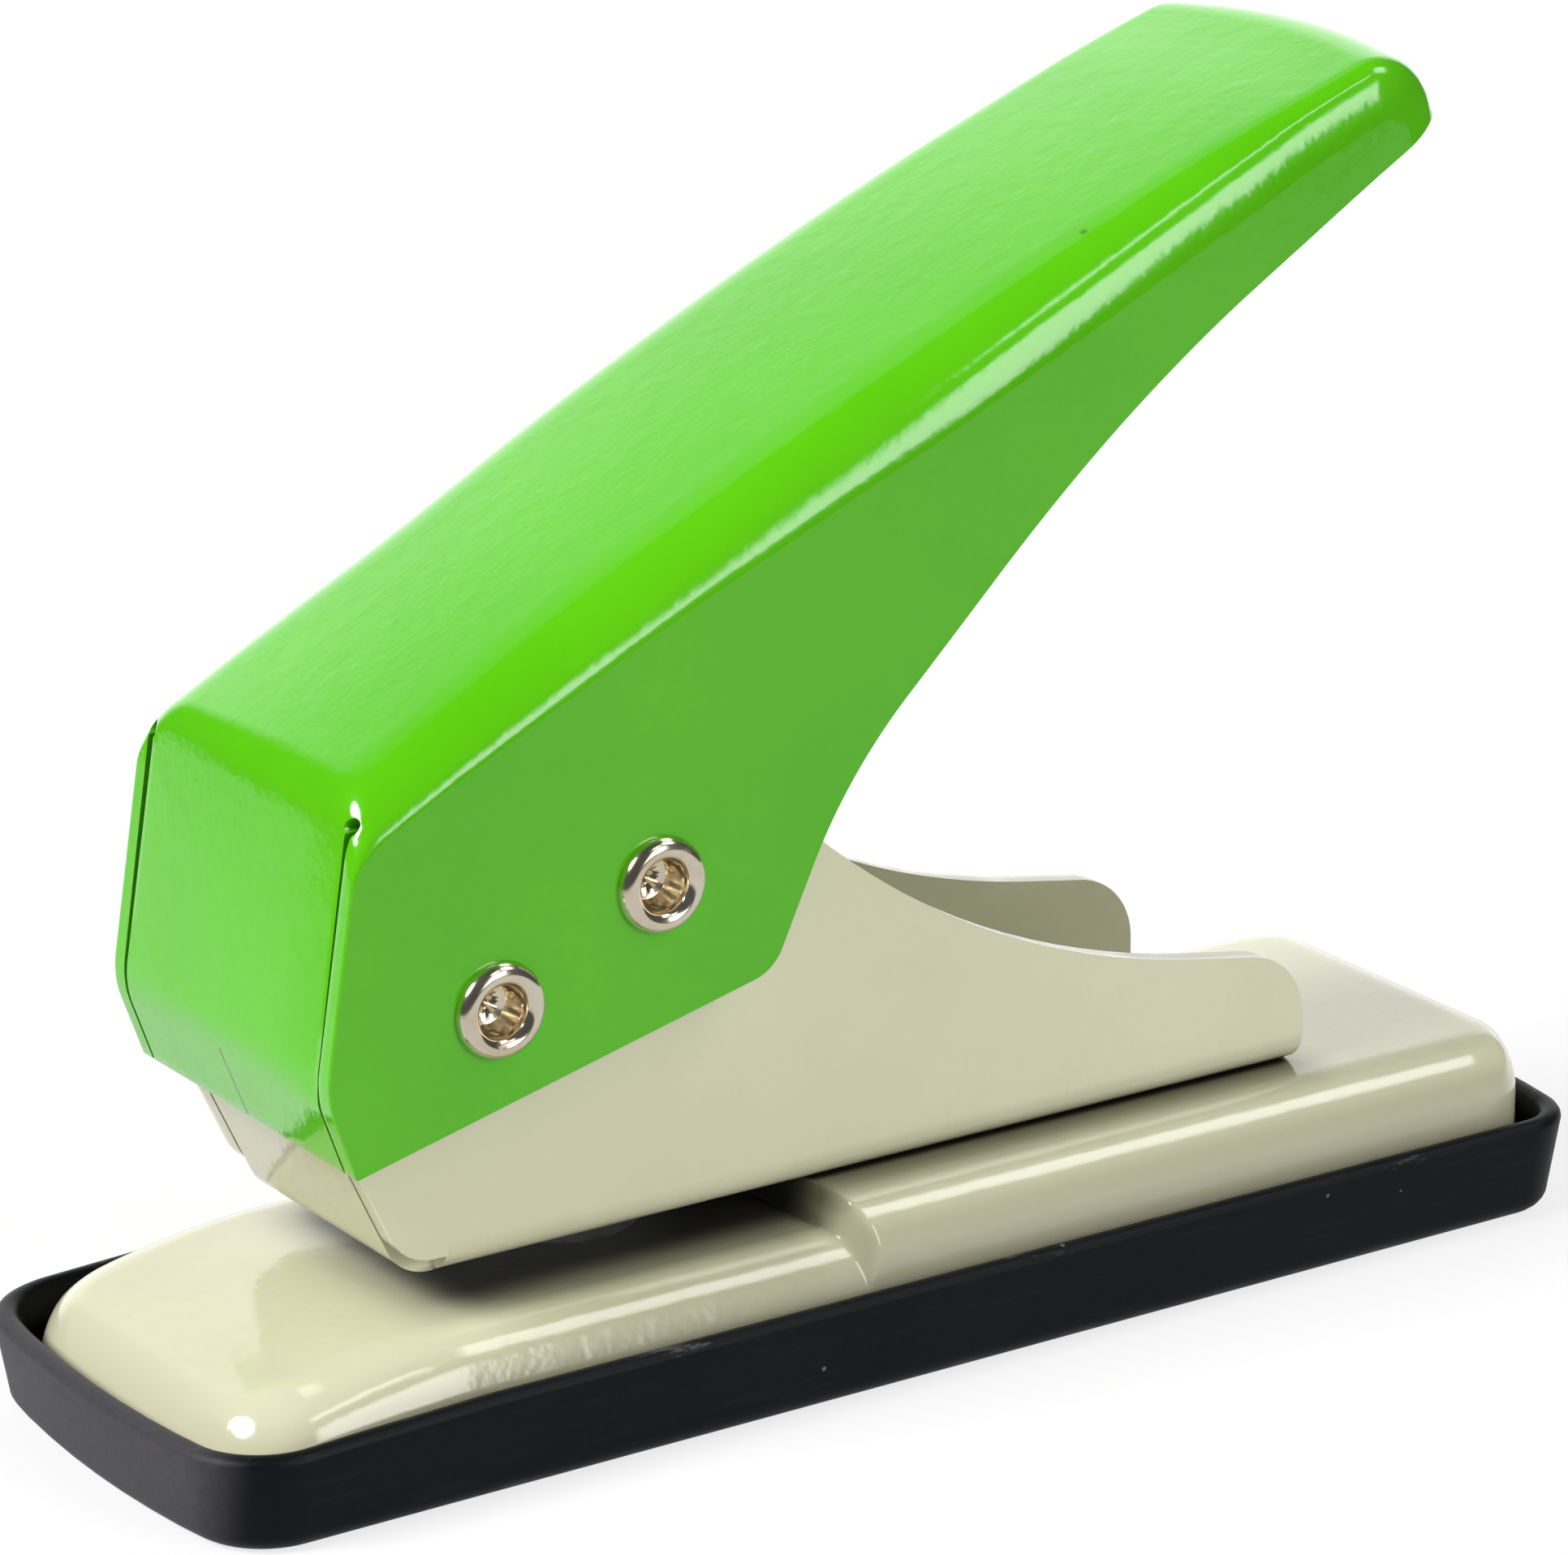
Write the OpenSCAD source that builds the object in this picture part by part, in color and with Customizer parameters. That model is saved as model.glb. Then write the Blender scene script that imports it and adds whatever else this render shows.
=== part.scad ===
// Single hole punch: a lever on a U frame drives a 6 mm punch through a die in the base.
// Millimetres. Origin under the middle of the tray, +X towards the handle's tip, +Z up.

/* [Tray] */
// Length of the tray over its rim
tray_l = 106; // [100:0.5:120]
// Width of the tray over its rim
tray_w = 33.6; // [30:0.2:42]
// Height of the tray
tray_h = 7; // [5:0.25:9]
// Thickness of the tray's wall at the rim
tray_wall = 1.6; // [1.2:0.1:2.4]
// Thickness of the tray's floor
tray_floor = 1.6; // [1:0.1:2.4]
// Radius of the tray's rear corners, seen from above
tray_corner = 4.6; // [3:0.1:6]
// Radius of the tray's front corners, seen from above
tray_front_corner = 6; // [3:0.1:7]
// How far the ends of the tray bow out
tray_bow = 1.5; // [0:0.1:2.5]
// How far the wall leans in towards the bottom
tray_draft = 0.7; // [0:0.1:1.2]
// Radius of the tray's bottom edge
tray_fillet = 1.5; // [0.5:0.1:2]

/* [Base] */
// Gap between the base's skirt and the tray's wall
tray_gap = 0.3; // [0.2:0.05:0.8]
// Thickness of the base's sheet
base_t = 1.2; // [0.8:0.1:1.6]
// Height of the base's raised rear over the tray's floor
base_rear_h = 10.6; // [9.5:0.1:13]
// Height of the slot that takes the paper
slot_h = 2.3; // [1.5:0.1:3]
// Radius of the base's corners, seen from above
base_corner = 6.5; // [5:0.1:8]
// Outer radius of the base's top edges
base_edge = 3.8; // [2.5:0.1:4.5]
// How far the front end of the base drops in its long curve
front_drop = 3; // [1:0.1:3.4]
// Length of the base's front curve
front_curve_l = 17; // [12:0.5:20]
// Length of the slope between the base's two levels
step_l = 1.6; // [1:0.1:3]

/* [Frame] */
// Width of the frame over its side walls
frame_w = 20.3; // [19:0.1:21]
// Thickness of the frame's sheet
frame_t = 1.5; // [1:0.1:1.8]
// Length of the frame's floor behind the pivot
frame_back = 63.2; // [55:0.2:70]
// Outer radius of the frame's lengthwise bends
frame_bend = 2.4; // [2:0.1:3]
// Height of the frame's rear end over the base
frame_rear_h = 7.6; // [5:0.1:10]
// Radius of the frame's rear corner
frame_rear_r = 5; // [2:0.1:6]
// Radius of the sweep along the frame's top edge
frame_sweep_r = 60; // [40:1:70]
// Lean of the front wall from the horizontal
front_lean = 65; // [60:1:75]
// Height of the front wall over the base
front_wall_h = 8; // [5:0.1:8.4]
// How far the top of the front wall lies ahead of the pivot
front_reach = 8.1; // [7:0.1:9]
// Gap beside the front wall and behind its bend
front_gap = 0.3; // [0.2:0.05:0.5]
// Height of the side walls' lower edge over the base, ahead of the bends
cheek_rise = 1.5; // [1:0.1:2.4]
// Metal round the two pins in the side walls
pin_margin = 3.3; // [2.6:0.1:4]
// How far the crest of the side walls lies behind the drive pin
crest_back = 7; // [5:0.1:9]
// Place of the sweep's corner behind the pivot
sweep_back = 37.15; // [35:0.05:40]
// Height of the sweep's corner over the base
sweep_h = 12; // [10:0.1:13]

/* [Lever] */
// Thickness of the lever's sheet
lever_t = 1.3; // [0.9:0.1:1.6]
// Length of the lever's top
lever_l = 86; // [70:0.2:100]
// Slope of the lever's top at its front end
lever_slope = 29.6; // [26:0.1:32]
// Radius of the long curve of the lever's top
lever_crown = 560; // [450:10:1200]
// Outer radius of the lever's lengthwise bends
lever_bend = 3.5; // [2.5:0.1:4.5]
// Outer radius of the bend from the lever's top to its flap
brow_r = 3; // [2:0.1:4]
// Outer radius of the flap's lower bend
chin_r = 6; // [4:0.1:8]
// Reach of the lever's front edge ahead of the pivot
flap_reach = 8.65; // [7.5:0.05:10]
// Height of the lever's front edge over the pivot
flap_rise = 14.1; // [13:0.1:18]
// Height of the front flap down to its lower bend
flap_h = 17.4; // [16:0.1:19]
// How far the flap runs forward over that height
flap_lean = 3.1; // [2:0.1:4]
// Height of the flap's lower strip
chin_h = 5.4; // [4:0.1:6]
// How far the lower strip runs back
chin_back = 1.84; // [1:0.02:2.4]
// Length of the side walls' bottom edge
skirt_l = 29.5; // [26:0.1:32]
// Slope of the side walls' bottom edge
skirt_slope = 13.8; // [10:0.1:18]
// Slope of the side walls' rear edge
neck_slope = 65; // [60:0.5:75]
// Radius of the sweep under the handle
neck_r = 70; // [40:1:72]
// Slope of the handle's underside
under_slope = 32; // [30:0.1:34]
// Radius from the lever's top to the end of its tip
tip_r = 5; // [4:0.1:6]
// Depth of the lever's tip
tip_h = 5.5; // [5:0.1:7]
// Width of the slits between the flap and the side walls
flap_slit = 0.35; // [0.2:0.05:0.6]
// How far the slits stop short of the lever's top
slit_drop = 1.5; // [1:0.1:2.5]

/* [Drive] */
// Place of the pivot ahead of the tray's middle
pivot_ahead = 30.35; // [28:0.05:32]
// Height of the pivot over the base's rear
pivot_h = 17.75; // [16:0.05:20]
// Distance from the pivot to the drive pin
arm_r = 12.75; // [11:0.05:14]
// Slope of the arm from the pivot to the drive pin at rest
arm_slope = 26.3; // [24:0.1:30]
// Turn of the lever from rest to the end of its stroke
stroke_angle = 21; // [15:0.5:22]
// Diameter of the two lever pins
pin_d = 4; // [3:0.1:4.4]
// Diameter of the pins' rolled and formed heads
pin_head_d = 6.1; // [5.4:0.1:7]
// Height of the pins' heads
pin_head_h = 0.9; // [0.6:0.05:1.2]
// Diameter of the hollow in the pins' rolled ends
pin_hollow_d = 3.1; // [2:0.1:3.2]
// Depth of that hollow
pin_hollow_h = 2.4; // [1.5:0.1:4]
// Outer diameter of the sleeve on the drive pin
sleeve_d = 5.5; // [5:0.1:6]
// Outer diameter of the spacer washers
spacer_d = 8; // [7:0.1:8.6]
// Thickness of the spacer washers between the frame and the lever
spacer_t = 1.65; // [0.8:0.05:2.2]

/* [Punch] */
// Diameter of the punch
punch_d = 6; // [5:0.1:7]
// Distance from the punch to the paper's stop
paper_margin = 12.5; // [11:0.1:14]
// Height of the punch's cutting edge over the paper slot's roof
punch_up = 0.5; // [0.3:0.1:1]
// Radius of the hollow across the cutting end
punch_hollow_r = 5; // [4:0.1:8]
// Height of the guide bridge's top over the frame's floor
guide_h = 13.7; // [13:0.1:14.5]
// Thickness of the guide bridge's sheet
guide_t = 1.2; // [1:0.1:1.5]
// Width of the guide bridge
guide_w = 13; // [11:0.1:14]
// Clear length inside the guide bridge
guide_l = 13; // [12:0.1:14]
// Length of the guide bridge's feet
guide_foot = 4.6; // [4:0.1:5]
// Thickness of the retaining clip and of the washer under it
clip_t = 0.8; // [0.6:0.05:1]
// Outer diameter of the retaining clip
clip_d = 9.2; // [8.4:0.1:10]
// Depth of the punch's groove for the clip
groove_depth = 0.7; // [0.5:0.05:0.9]
// Diameter of the spring's wire
wire_d = 0.8; // [0.6:0.05:0.9]
// Middle diameter of the spring's turns
spring_d = 8; // [7.6:0.1:8.6]
// Turns of the spring
spring_turns = 6; // [4:0.5:6]
// Diameter of the die's collar
die_collar_d = 10; // [9:0.1:11]
// Thickness of the die plate under the base
die_t = 2; // [1.5:0.1:2.5]
// Length of the die plate
die_l = 20; // [18:0.5:22]
// Width of the die plate
die_w = 13; // [11.5:0.5:16]

/* [Rivets] */
// Diameter of the small rivets
rivet_d = 2.4; // [2:0.1:2.8]
// Diameter of the small rivets' heads
rivet_head_d = 4; // [3.4:0.1:4.4]
// Height of the small rivets' heads
rivet_head_h = 0.8; // [0.5:0.05:0.9]
// Place of the first frame rivet behind the tray's middle
frame_rivet_x = 8; // [4:0.5:12]
// Distance between the frame rivets
frame_rivet_pitch = 17; // [10:0.5:20]

/* [Fits] */
// Radial clearance of pins and punch in their bores
run_gap = 0.05; // [0.03:0.01:0.08]
// Radial clearance of parts that stay put
seat_gap = 0.03; // [0.02:0.01:0.05]
// Clearance between faces that slide past each other
side_gap = 0.1; // [0.08:0.01:0.15]
// Radius inside small bends of plain sheet
small_bend = 0.8; // [0.5:0.1:1]

/* [Hidden] */
$fn = 64;
green = [0.33, 0.67, 0.16];
beige = [0.78, 0.77, 0.68];
black = [0.09, 0.09, 0.1];
nickel = [0.8, 0.76, 0.68];
steel = [0.6, 0.61, 0.63];
spring_steel = [0.5, 0.51, 0.54];
// A cut runs this far past the face that it opens
over = 1;
arc_steps = 6;
sweep_steps = 24;

// Levels, from the desk up
base_z = tray_floor;
rear_z = base_z + base_rear_h;
front_z = rear_z - slot_h;
floor_z = rear_z + frame_t;
pivot = [-pivot_ahead, rear_z + pivot_h];
// The base inside the tray's rim
base_l = tray_l - 2 * (tray_wall + tray_gap) - 0.5 * tray_bow;
base_w = tray_w - 2 * (tray_wall + tray_gap);
// The drive pin at both ends of the stroke, and the punch under the middle of its path
drive = pivot + arm_r * [cos(arm_slope), sin(arm_slope)];
drive_end = pivot + arm_r * [cos(arm_slope - stroke_angle), sin(arm_slope - stroke_angle)];
punch_x = (drive.x + drive_end.x) / 2;
punch_top = drive.y - sleeve_d / 2 - side_gap / 2;
punch_tip = rear_z + punch_up;
// The paper's stop lies behind the punch
step_x = punch_x + paper_margin;
// The guide bridge and what hangs under it
guide_z = floor_z + guide_h;
clip_z = guide_z - guide_t - side_gap - clip_t;
washer_z = clip_z - clip_t;
groove_d = punch_d - 2 * groove_depth;
// Frame inside width, and the lever's width round the frame and the spacer washers
frame_in = frame_w - 2 * frame_t;
lever_w = frame_w + 2 * (side_gap + spacer_t + lever_t);
// Rivet heads keep this far from the edges beside them
rivet_margin = 0.5;
foot_x = guide_l / 2 + guide_t + guide_foot / 2 + small_bend / 2;
foot_y = guide_w / 2 - rivet_head_d / 2 - rivet_margin;
die_rivet_x = die_collar_d / 2 + rivet_head_d / 2 + rivet_margin;

// Plane geometry
function turn(a) = [cos(a), sin(a)];
function unit(v) = v / norm(v);
function left(v) = [-v.y, v.x];
function meet(p, u, q, v) = p + u * cross(q - p, v) / cross(u, v);
function arc_points(c, r, from, sweep, n) = [for (i = [0:n]) c + r * turn(from + sweep * i / n)];

// One corner at b between a and c, rounded to radius r
function corner(a, b, c, r, n) =
    let (
        to_a = unit(a - b),
        to_c = unit(c - b),
        half = acos(to_a * to_c) / 2,
        start = b + to_a * r / tan(half),
        centre = b + unit(to_a + to_c) * r / sin(half),
        from = atan2(start.y - centre.y, start.x - centre.x),
        swing = 180 - 2 * half,
        side = cross(b - a, c - b) > 0 ? 1 : -1
    )
    r == 0 ? [b] : arc_points(centre, r, from, side * swing, n);

// An outline through knots [x, y, radius]
function rounded(knots, n = arc_steps) =
    let (count = len(knots), at = [for (k = knots) [k[0], k[1]]])
    [
        for (i = [0:count - 1])
            each corner(at[(i + count - 1) % count], at[i], at[(i + 1) % count], knots[i][2], n)
    ];
function knot(p, r = 0) = [p.x, p.y, r];

// A closed skin through rings with the same number of points
module skin(rings) {
    n = len(rings[0]);
    last = len(rings) - 1;
    points = [for (ring = rings) each ring];
    sides = [
        for (i = [0:last - 1], j = [0:n - 1])
            let (k = (j + 1) % n)
            each [
                [i * n + j, i * n + k, (i + 1) * n + k],
                [i * n + j, (i + 1) * n + k, (i + 1) * n + j]
            ]
    ];
    first_cap = [[for (j = [n - 1:-1:0]) j]];
    last_cap = [[for (j = [0:n - 1]) last * n + j]];
    polyhedron(points, concat(sides, first_cap, last_cap));
}

// A side outline in X and Z, given its width about the middle plane
module side_prism(width) {
    rotate([90, 0, 0]) linear_extrude(width, center = true) children();
}

// A cross section in Y and Z, run along X from one place to another
module run_x(from, to) {
    translate([from, 0, 0]) rotate([90, 0, 90]) linear_extrude(to - from) children();
}

// A cylinder across the part, with its middle at a point of the side view
module cross_pin(at, d, width) {
    translate([at.x, 0, at.y]) rotate([90, 0, 0]) cylinder(d = d, h = width, center = true);
}

// Tray seen from above, drawn in by an inset
function tray_plan(inset) =
    let (
        l = tray_l / 2 - inset,
        w = tray_w / 2 - inset,
        r = max(tray_corner - inset, small_bend),
        front_r = max(tray_front_corner - inset, small_bend),
        end = [-0.55, -0.3, 0, 0.3, 0.55]
    )
    rounded(concat(
        [[l - tray_bow, -w, r]],
        [for (s = end) [l - tray_bow * s * s, s * w, 0]],
        [[l - tray_bow, w, r], [-l + tray_bow, w, front_r]],
        [for (s = end) [-l + tray_bow * s * s, -s * w, 0]],
        [[-l + tray_bow, -w, front_r]]
    ));
function raised(plan, z) = [for (i = [len(plan) - 1:-1:0]) [plan[i].x, plan[i].y, z]];

module chip_tray() {
    foot = [for (i = [0:4]) let (a = 90 * i / 4) tray_fillet * [1 - sin(a), 1 - cos(a)]];
    outer = concat(
        [for (p = foot) raised(tray_plan(tray_draft + p.x), p.y)],
        [raised(tray_plan(0), tray_h)]
    );
    inner = [for (z = [tray_floor, tray_h + over]) raised(tray_plan(tray_wall), z)];
    color(black) difference() {
        skin(outer);
        skin(inner);
    }
}

// The base's top along its length: front curve, step, level rear
function ease(s) = let (c = min(max(s, 0), 1)) c * c * (3 - 2 * c);
function base_top(x) =
    let (ahead = max(front_curve_l - (x + base_l / 2), 0) / front_curve_l)
    front_z - front_drop * ahead * ahead + slot_h * ease((x - step_x) / step_l + 0.5);
// Half the base's width along its length, and how far its ends round off
function round_off(d, r) = d >= r ? 0 : r - sqrt(max(r * r - (r - d) * (r - d), 0));
function base_section(x, wall) =
    let (
        d = base_l / 2 - wall - abs(x),
        w = base_w / 2 - wall - round_off(d, base_corner - wall),
        edge = base_edge - wall,
        top = base_top(x) - wall - round_off(d, edge),
        low = wall > 0 ? base_z - over : base_z,
        lip = min(edge, top - low - 0.2)
    )
    [for (p = concat(
        [[-w, low]],
        arc_points([-w + edge, top - lip], edge, 180, -90, arc_steps),
        arc_points([w - edge, top - lip], edge, 90, -90, arc_steps),
        [[w, low]]
    )) [x, p.x, p.y > top - lip ? top - lip + (p.y - top + lip) * lip / edge : p.y]];
function base_stations(wall) =
    let (
        end = base_l / 2 - wall,
        r = base_corner - wall,
        turns = [for (i = [0:8]) r - r * sin(90 * i / 8)],
        curve = [for (i = [1:6]) base_corner + (front_curve_l - base_corner) * i / 6 - base_l / 2],
        step = [for (i = [-5:5]) step_x + step_l * i / 10]
    )
    concat(
        [for (i = [8:-1:0]) -end + turns[i]], curve, step,
        [for (t = turns) end - t]
    );
module base_solid(wall) {
    skin([for (x = base_stations(wall)) base_section(x, wall)]);
}

module base() {
    color(beige) difference() {
        base_solid(0);
        base_solid(base_t);
        translate([punch_x, 0, base_z]) cylinder(d = die_collar_d + 2 * seat_gap, h = rear_z);
        for (s = [-1, 1])
            translate([punch_x + s * die_rivet_x, 0, front_z]) flush_hole();
        for (i = [0, 1])
            translate([frame_rivet_x + i * frame_rivet_pitch, 0, rear_z - base_t - over])
                cylinder(d = rivet_d + 2 * seat_gap, h = base_t + 2 * over);
    }
}

// A hole for a rivet whose head lies flush with the face above it
module flush_hole() {
    translate([0, 0, -base_z - rear_z]) cylinder(d = rivet_d + 2 * seat_gap, h = 2 * rear_z);
    translate([0, 0, -rivet_head_h])
        cylinder(
            d1 = rivet_d + 2 * seat_gap,
            d2 = rivet_head_d + 2 * seat_gap,
            h = rivet_head_h + 0.001
        );
}

// A rivet with a flush head at the top and a flat clench under a stack of sheets
module flush_rivet(stack) {
    translate([0, 0, -rivet_head_h]) cylinder(d1 = rivet_d, d2 = rivet_head_d, h = rivet_head_h);
    translate([0, 0, -stack]) cylinder(d = rivet_d, h = stack - rivet_head_h / 2);
    translate([0, 0, -stack - rivet_head_h]) cylinder(d = rivet_head_d, h = rivet_head_h);
}

module die_plate() {
    plate_z = front_z - base_t - die_t;
    color(steel) difference() {
        union() {
            translate([punch_x - die_l / 2, -die_w / 2, plate_z]) cube([die_l, die_w, die_t]);
            translate([punch_x, 0, plate_z]) cylinder(d = die_collar_d, h = front_z - plate_z);
        }
        translate([punch_x, 0, plate_z - over])
            cylinder(d = punch_d + 2 * run_gap, h = front_z - plate_z + 2 * over);
        for (s = [-1, 1])
            translate([punch_x + s * die_rivet_x, 0, plate_z - over])
                cylinder(d = rivet_d + 2 * seat_gap, h = die_t + 2 * over);
    }
}

module die_rivets() {
    color(steel) for (s = [-1, 1])
        translate([punch_x + s * die_rivet_x, 0, front_z]) flush_rivet(base_t + die_t);
}

// Frame
frame_rear_x = pivot.x + frame_back;
front_top = [pivot.x - front_reach, rear_z + front_wall_h];
front_up = turn(180 - front_lean);
front_foot = meet(front_top, front_up, [0, rear_z], [1, 0]);
front_bend = frame_bend + small_bend;
// The side bends stop at a relief cut, just behind the front bend
relief_x = front_foot.x + front_bend * tan(front_lean / 2) + front_gap;
crest = [drive.x + crest_back, drive.y + pin_d / 2 + pin_margin];
pivot_boss = pin_head_d / 2 + pin_margin;
// Side view of the frame down to a level
function frame_outline(low) = rounded([
    [frame_rear_x, low, 0],
    [frame_rear_x, rear_z + frame_rear_h, frame_rear_r],
    [pivot.x + sweep_back, rear_z + sweep_h, frame_sweep_r],
    knot(crest, frame_rear_r),
    [drive.x - pin_d, crest.y, pin_d],
    [pivot.x + pin_margin, pivot.y + pivot_boss, pin_margin],
    [pivot.x - pivot_boss, pivot.y + pivot_boss, pivot_boss - seat_gap],
    [pivot.x - pivot_boss, front_top.y + pin_margin, pin_margin],
    knot(front_top, small_bend),
    knot(meet(front_top, front_up, [0, low], [1, 0]), front_bend)
], sweep_steps / 3);

// Half of a rounded channel, filled from its middle out
module channel_half(half_w, low, r) {
    translate([0, low + r]) square([half_w, pivot.y + flap_rise]);
    translate([0, low]) square([half_w - r, r]);
    translate([half_w - r, low + r]) circle(r);
}
module channel_section() {
    difference() {
        for (m = [0, 1]) mirror([m, 0]) channel_half(frame_w / 2, rear_z, frame_bend);
        for (m = [0, 1])
            mirror([m, 0]) channel_half(frame_in / 2, floor_z, frame_bend - frame_t);
    }
}

// The front wall is bent up from the floor between the side walls
module front_wall() {
    sheet = -left(front_up) * frame_t;
    inside = meet(front_foot + sheet, front_up, [0, floor_z], [1, 0]);
    side_prism(frame_in - 2 * front_gap) polygon(rounded([
        [relief_x, rear_z, 0],
        [relief_x, floor_z, 0],
        knot(inside, front_bend - frame_t),
        knot(front_top + sheet),
        knot(front_top),
        knot(front_foot, front_bend)
    ]));
}

module frame() {
    wall_y = frame_w / 2 - frame_t / 2;
    color(beige) difference() {
        union() {
            intersection() {
                run_x(relief_x, frame_rear_x + over) channel_section();
                side_prism(frame_w + over) polygon(frame_outline(rear_z - over));
            }
            for (s = [-1, 1])
                translate([0, s * wall_y, 0]) intersection() {
                    side_prism(frame_t) polygon(frame_outline(rear_z + cheek_rise));
                    translate([front_top.x - over, -frame_t, 0])
                        cube([relief_x - front_top.x + over + front_gap, 2 * frame_t, 2 * pivot.y]);
                }
            front_wall();
        }
        cross_pin(pivot, pin_d + 2 * run_gap, frame_w + over);
        drive_slot();
        translate([punch_x, 0, rear_z - over])
            cylinder(d = punch_d + 2 * run_gap, h = frame_t + 2 * over);
        guide_places() translate([0, 0, rear_z]) mirror([0, 0, 1]) flush_hole();
        for (i = [0, 1])
            translate([frame_rivet_x + i * frame_rivet_pitch, 0, rear_z - over])
                cylinder(d = rivet_d + 2 * seat_gap, h = frame_t + 2 * over);
    }
}

// The drive pin's path through the frame's walls, an arc about the pivot
module drive_slot() {
    half = pin_d / 2 + run_gap;
    for (at = [drive, drive_end]) cross_pin(at, 2 * half, frame_w + over);
    translate([pivot.x, 0, pivot.y]) rotate([90, 0, 0])
        linear_extrude(frame_w + over, center = true) polygon(concat(
            arc_points([0, 0], arm_r + half, arm_slope, -stroke_angle, sweep_steps),
            arc_points([0, 0], arm_r - half, arm_slope - stroke_angle, stroke_angle, sweep_steps)
        ));
}

module frame_rivets() {
    stack = frame_t + base_t;
    color(steel) for (i = [0, 1])
        translate([frame_rivet_x + i * frame_rivet_pitch, 0, floor_z]) {
            translate([0, 0, -stack]) cylinder(d = rivet_d, h = stack);
            translate([0, 0, -stack - rivet_head_h]) cylinder(d = rivet_head_d, h = rivet_head_h);
            domed_head(rivet_head_d, rivet_head_h);
        }
}

// A domed head that stands on a face
module domed_head(d, h) {
    r = (d * d / 4 + h * h) / (2 * h);
    intersection() {
        translate([0, 0, h - r]) sphere(r);
        cylinder(d = d, h = h + over);
    }
}

// Guide bridge over the punch, with a foot at each end
module guide_places() {
    for (s = [-1, 1], t = [-1, 1]) translate([punch_x + s * foot_x, t * foot_y, 0]) children();
}
module punch_guide() {
    out = guide_l / 2 + guide_t;
    bend = small_bend + guide_t;
    foot_end = out + small_bend + guide_foot;
    half = [
        [0, guide_z, 0], [out, guide_z, bend], [out, floor_z + guide_t, small_bend],
        [foot_end, floor_z + guide_t, 0], [foot_end, floor_z, 0],
        [guide_l / 2, floor_z, bend], [guide_l / 2, guide_z - guide_t, small_bend],
        [0, guide_z - guide_t, 0]
    ];
    color(steel) difference() {
        translate([punch_x, 0, 0]) union() for (m = [0, 1])
            mirror([m, 0, 0]) side_prism(guide_w) polygon(rounded(half));
        translate([punch_x, 0, guide_z - guide_t - over])
            cylinder(d = punch_d + 2 * run_gap, h = guide_t + 2 * over);
        guide_places() translate([0, 0, floor_z - over])
            cylinder(d = rivet_d + 2 * seat_gap, h = guide_t + 2 * over);
    }
}

module guide_rivets() {
    color(steel) guide_places() translate([0, 0, rear_z])
        mirror([0, 0, 1]) flush_rivet(frame_t + guide_t);
}

// Punch, clip, washer and spring
module punch_pin() {
    chamfer = 0.5;
    color(steel) translate([punch_x, 0, 0]) difference() {
        union() {
            translate([0, 0, punch_tip]) cylinder(d = punch_d, h = punch_top - chamfer - punch_tip);
            translate([0, 0, punch_top - chamfer])
                cylinder(d1 = punch_d, d2 = punch_d - 2 * chamfer, h = chamfer);
        }
        translate([0, 0, clip_z]) difference() {
            cylinder(d = punch_d + over, h = clip_t);
            translate([0, 0, -over]) cylinder(d = groove_d, h = clip_t + 2 * over);
        }
        depth = punch_hollow_r - sqrt(pow(punch_hollow_r, 2) - pow(punch_d / 2, 2));
        translate([0, 0, punch_tip + depth - punch_hollow_r])
            rotate([90, 0, 0]) cylinder(r = punch_hollow_r, h = 2 * punch_d, center = true);
    }
}

module spring_washer() {
    color(steel) translate([punch_x, 0, washer_z]) difference() {
        cylinder(d = spring_d + 2 * wire_d + 2 * side_gap, h = clip_t);
        translate([0, 0, -over]) cylinder(d = punch_d + 2 * run_gap, h = clip_t + 2 * over);
    }
}

module retaining_clip() {
    mouth = groove_d - 2 * seat_gap - wire_d;
    color(spring_steel) translate([punch_x, 0, clip_z]) difference() {
        cylinder(d = clip_d, h = clip_t - seat_gap);
        translate([0, 0, -over]) cylinder(d = groove_d + 2 * seat_gap, h = clip_t + 2 * over);
        translate([-clip_d, -mouth / 2, -over]) cube([clip_d, mouth, clip_t + 2 * over]);
    }
}

// The spring is one wire wound at a steady pitch between the frame's floor and the washer
spring_rise = washer_z - floor_z - wire_d - side_gap;
spring_pitch = spring_rise / spring_turns;
wire_sides = 6;
rings_a_turn = 8;
function wire_ring(i) =
    let (
        a = 360 * i / rings_a_turn,
        z = floor_z + (wire_d + side_gap) / 2 + spring_pitch * i / rings_a_turn,
        out = [cos(a), sin(a), 0],
        along = unit([-sin(a) * PI * spring_d, cos(a) * PI * spring_d, spring_pitch]),
        across = cross(along, out)
    )
    [
        for (k = [0:wire_sides - 1])
            let (b = 360 * k / wire_sides)
            [punch_x, 0, z] + out * spring_d / 2 + wire_d / 2 * (out * cos(b) - across * sin(b))
    ];
module return_spring() {
    color(spring_steel) skin([for (i = [0:rings_a_turn * spring_turns]) wire_ring(i)]);
}
echo(least_gap_between_turns = spring_pitch - wire_d);

// Lever, drawn about the pivot in the side view
flap_top = pivot + [-flap_reach, flap_rise];
flap_bend = flap_top - [flap_lean, flap_h];
chin_end = flap_bend + [chin_back, -chin_h];
skirt_end = chin_end + skirt_l * [1, tan(skirt_slope)];
crown_centre = flap_top - lever_crown * turn(90 + lever_slope);
tip_slope = lever_slope - lever_l / lever_crown * 180 / PI;
function crown(slope, inset) = crown_centre + (lever_crown - inset) * turn(90 + slope);
tip_end = crown(tip_slope, tip_h);
neck = meet(skirt_end, turn(neck_slope), tip_end, turn(under_slope));

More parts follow.
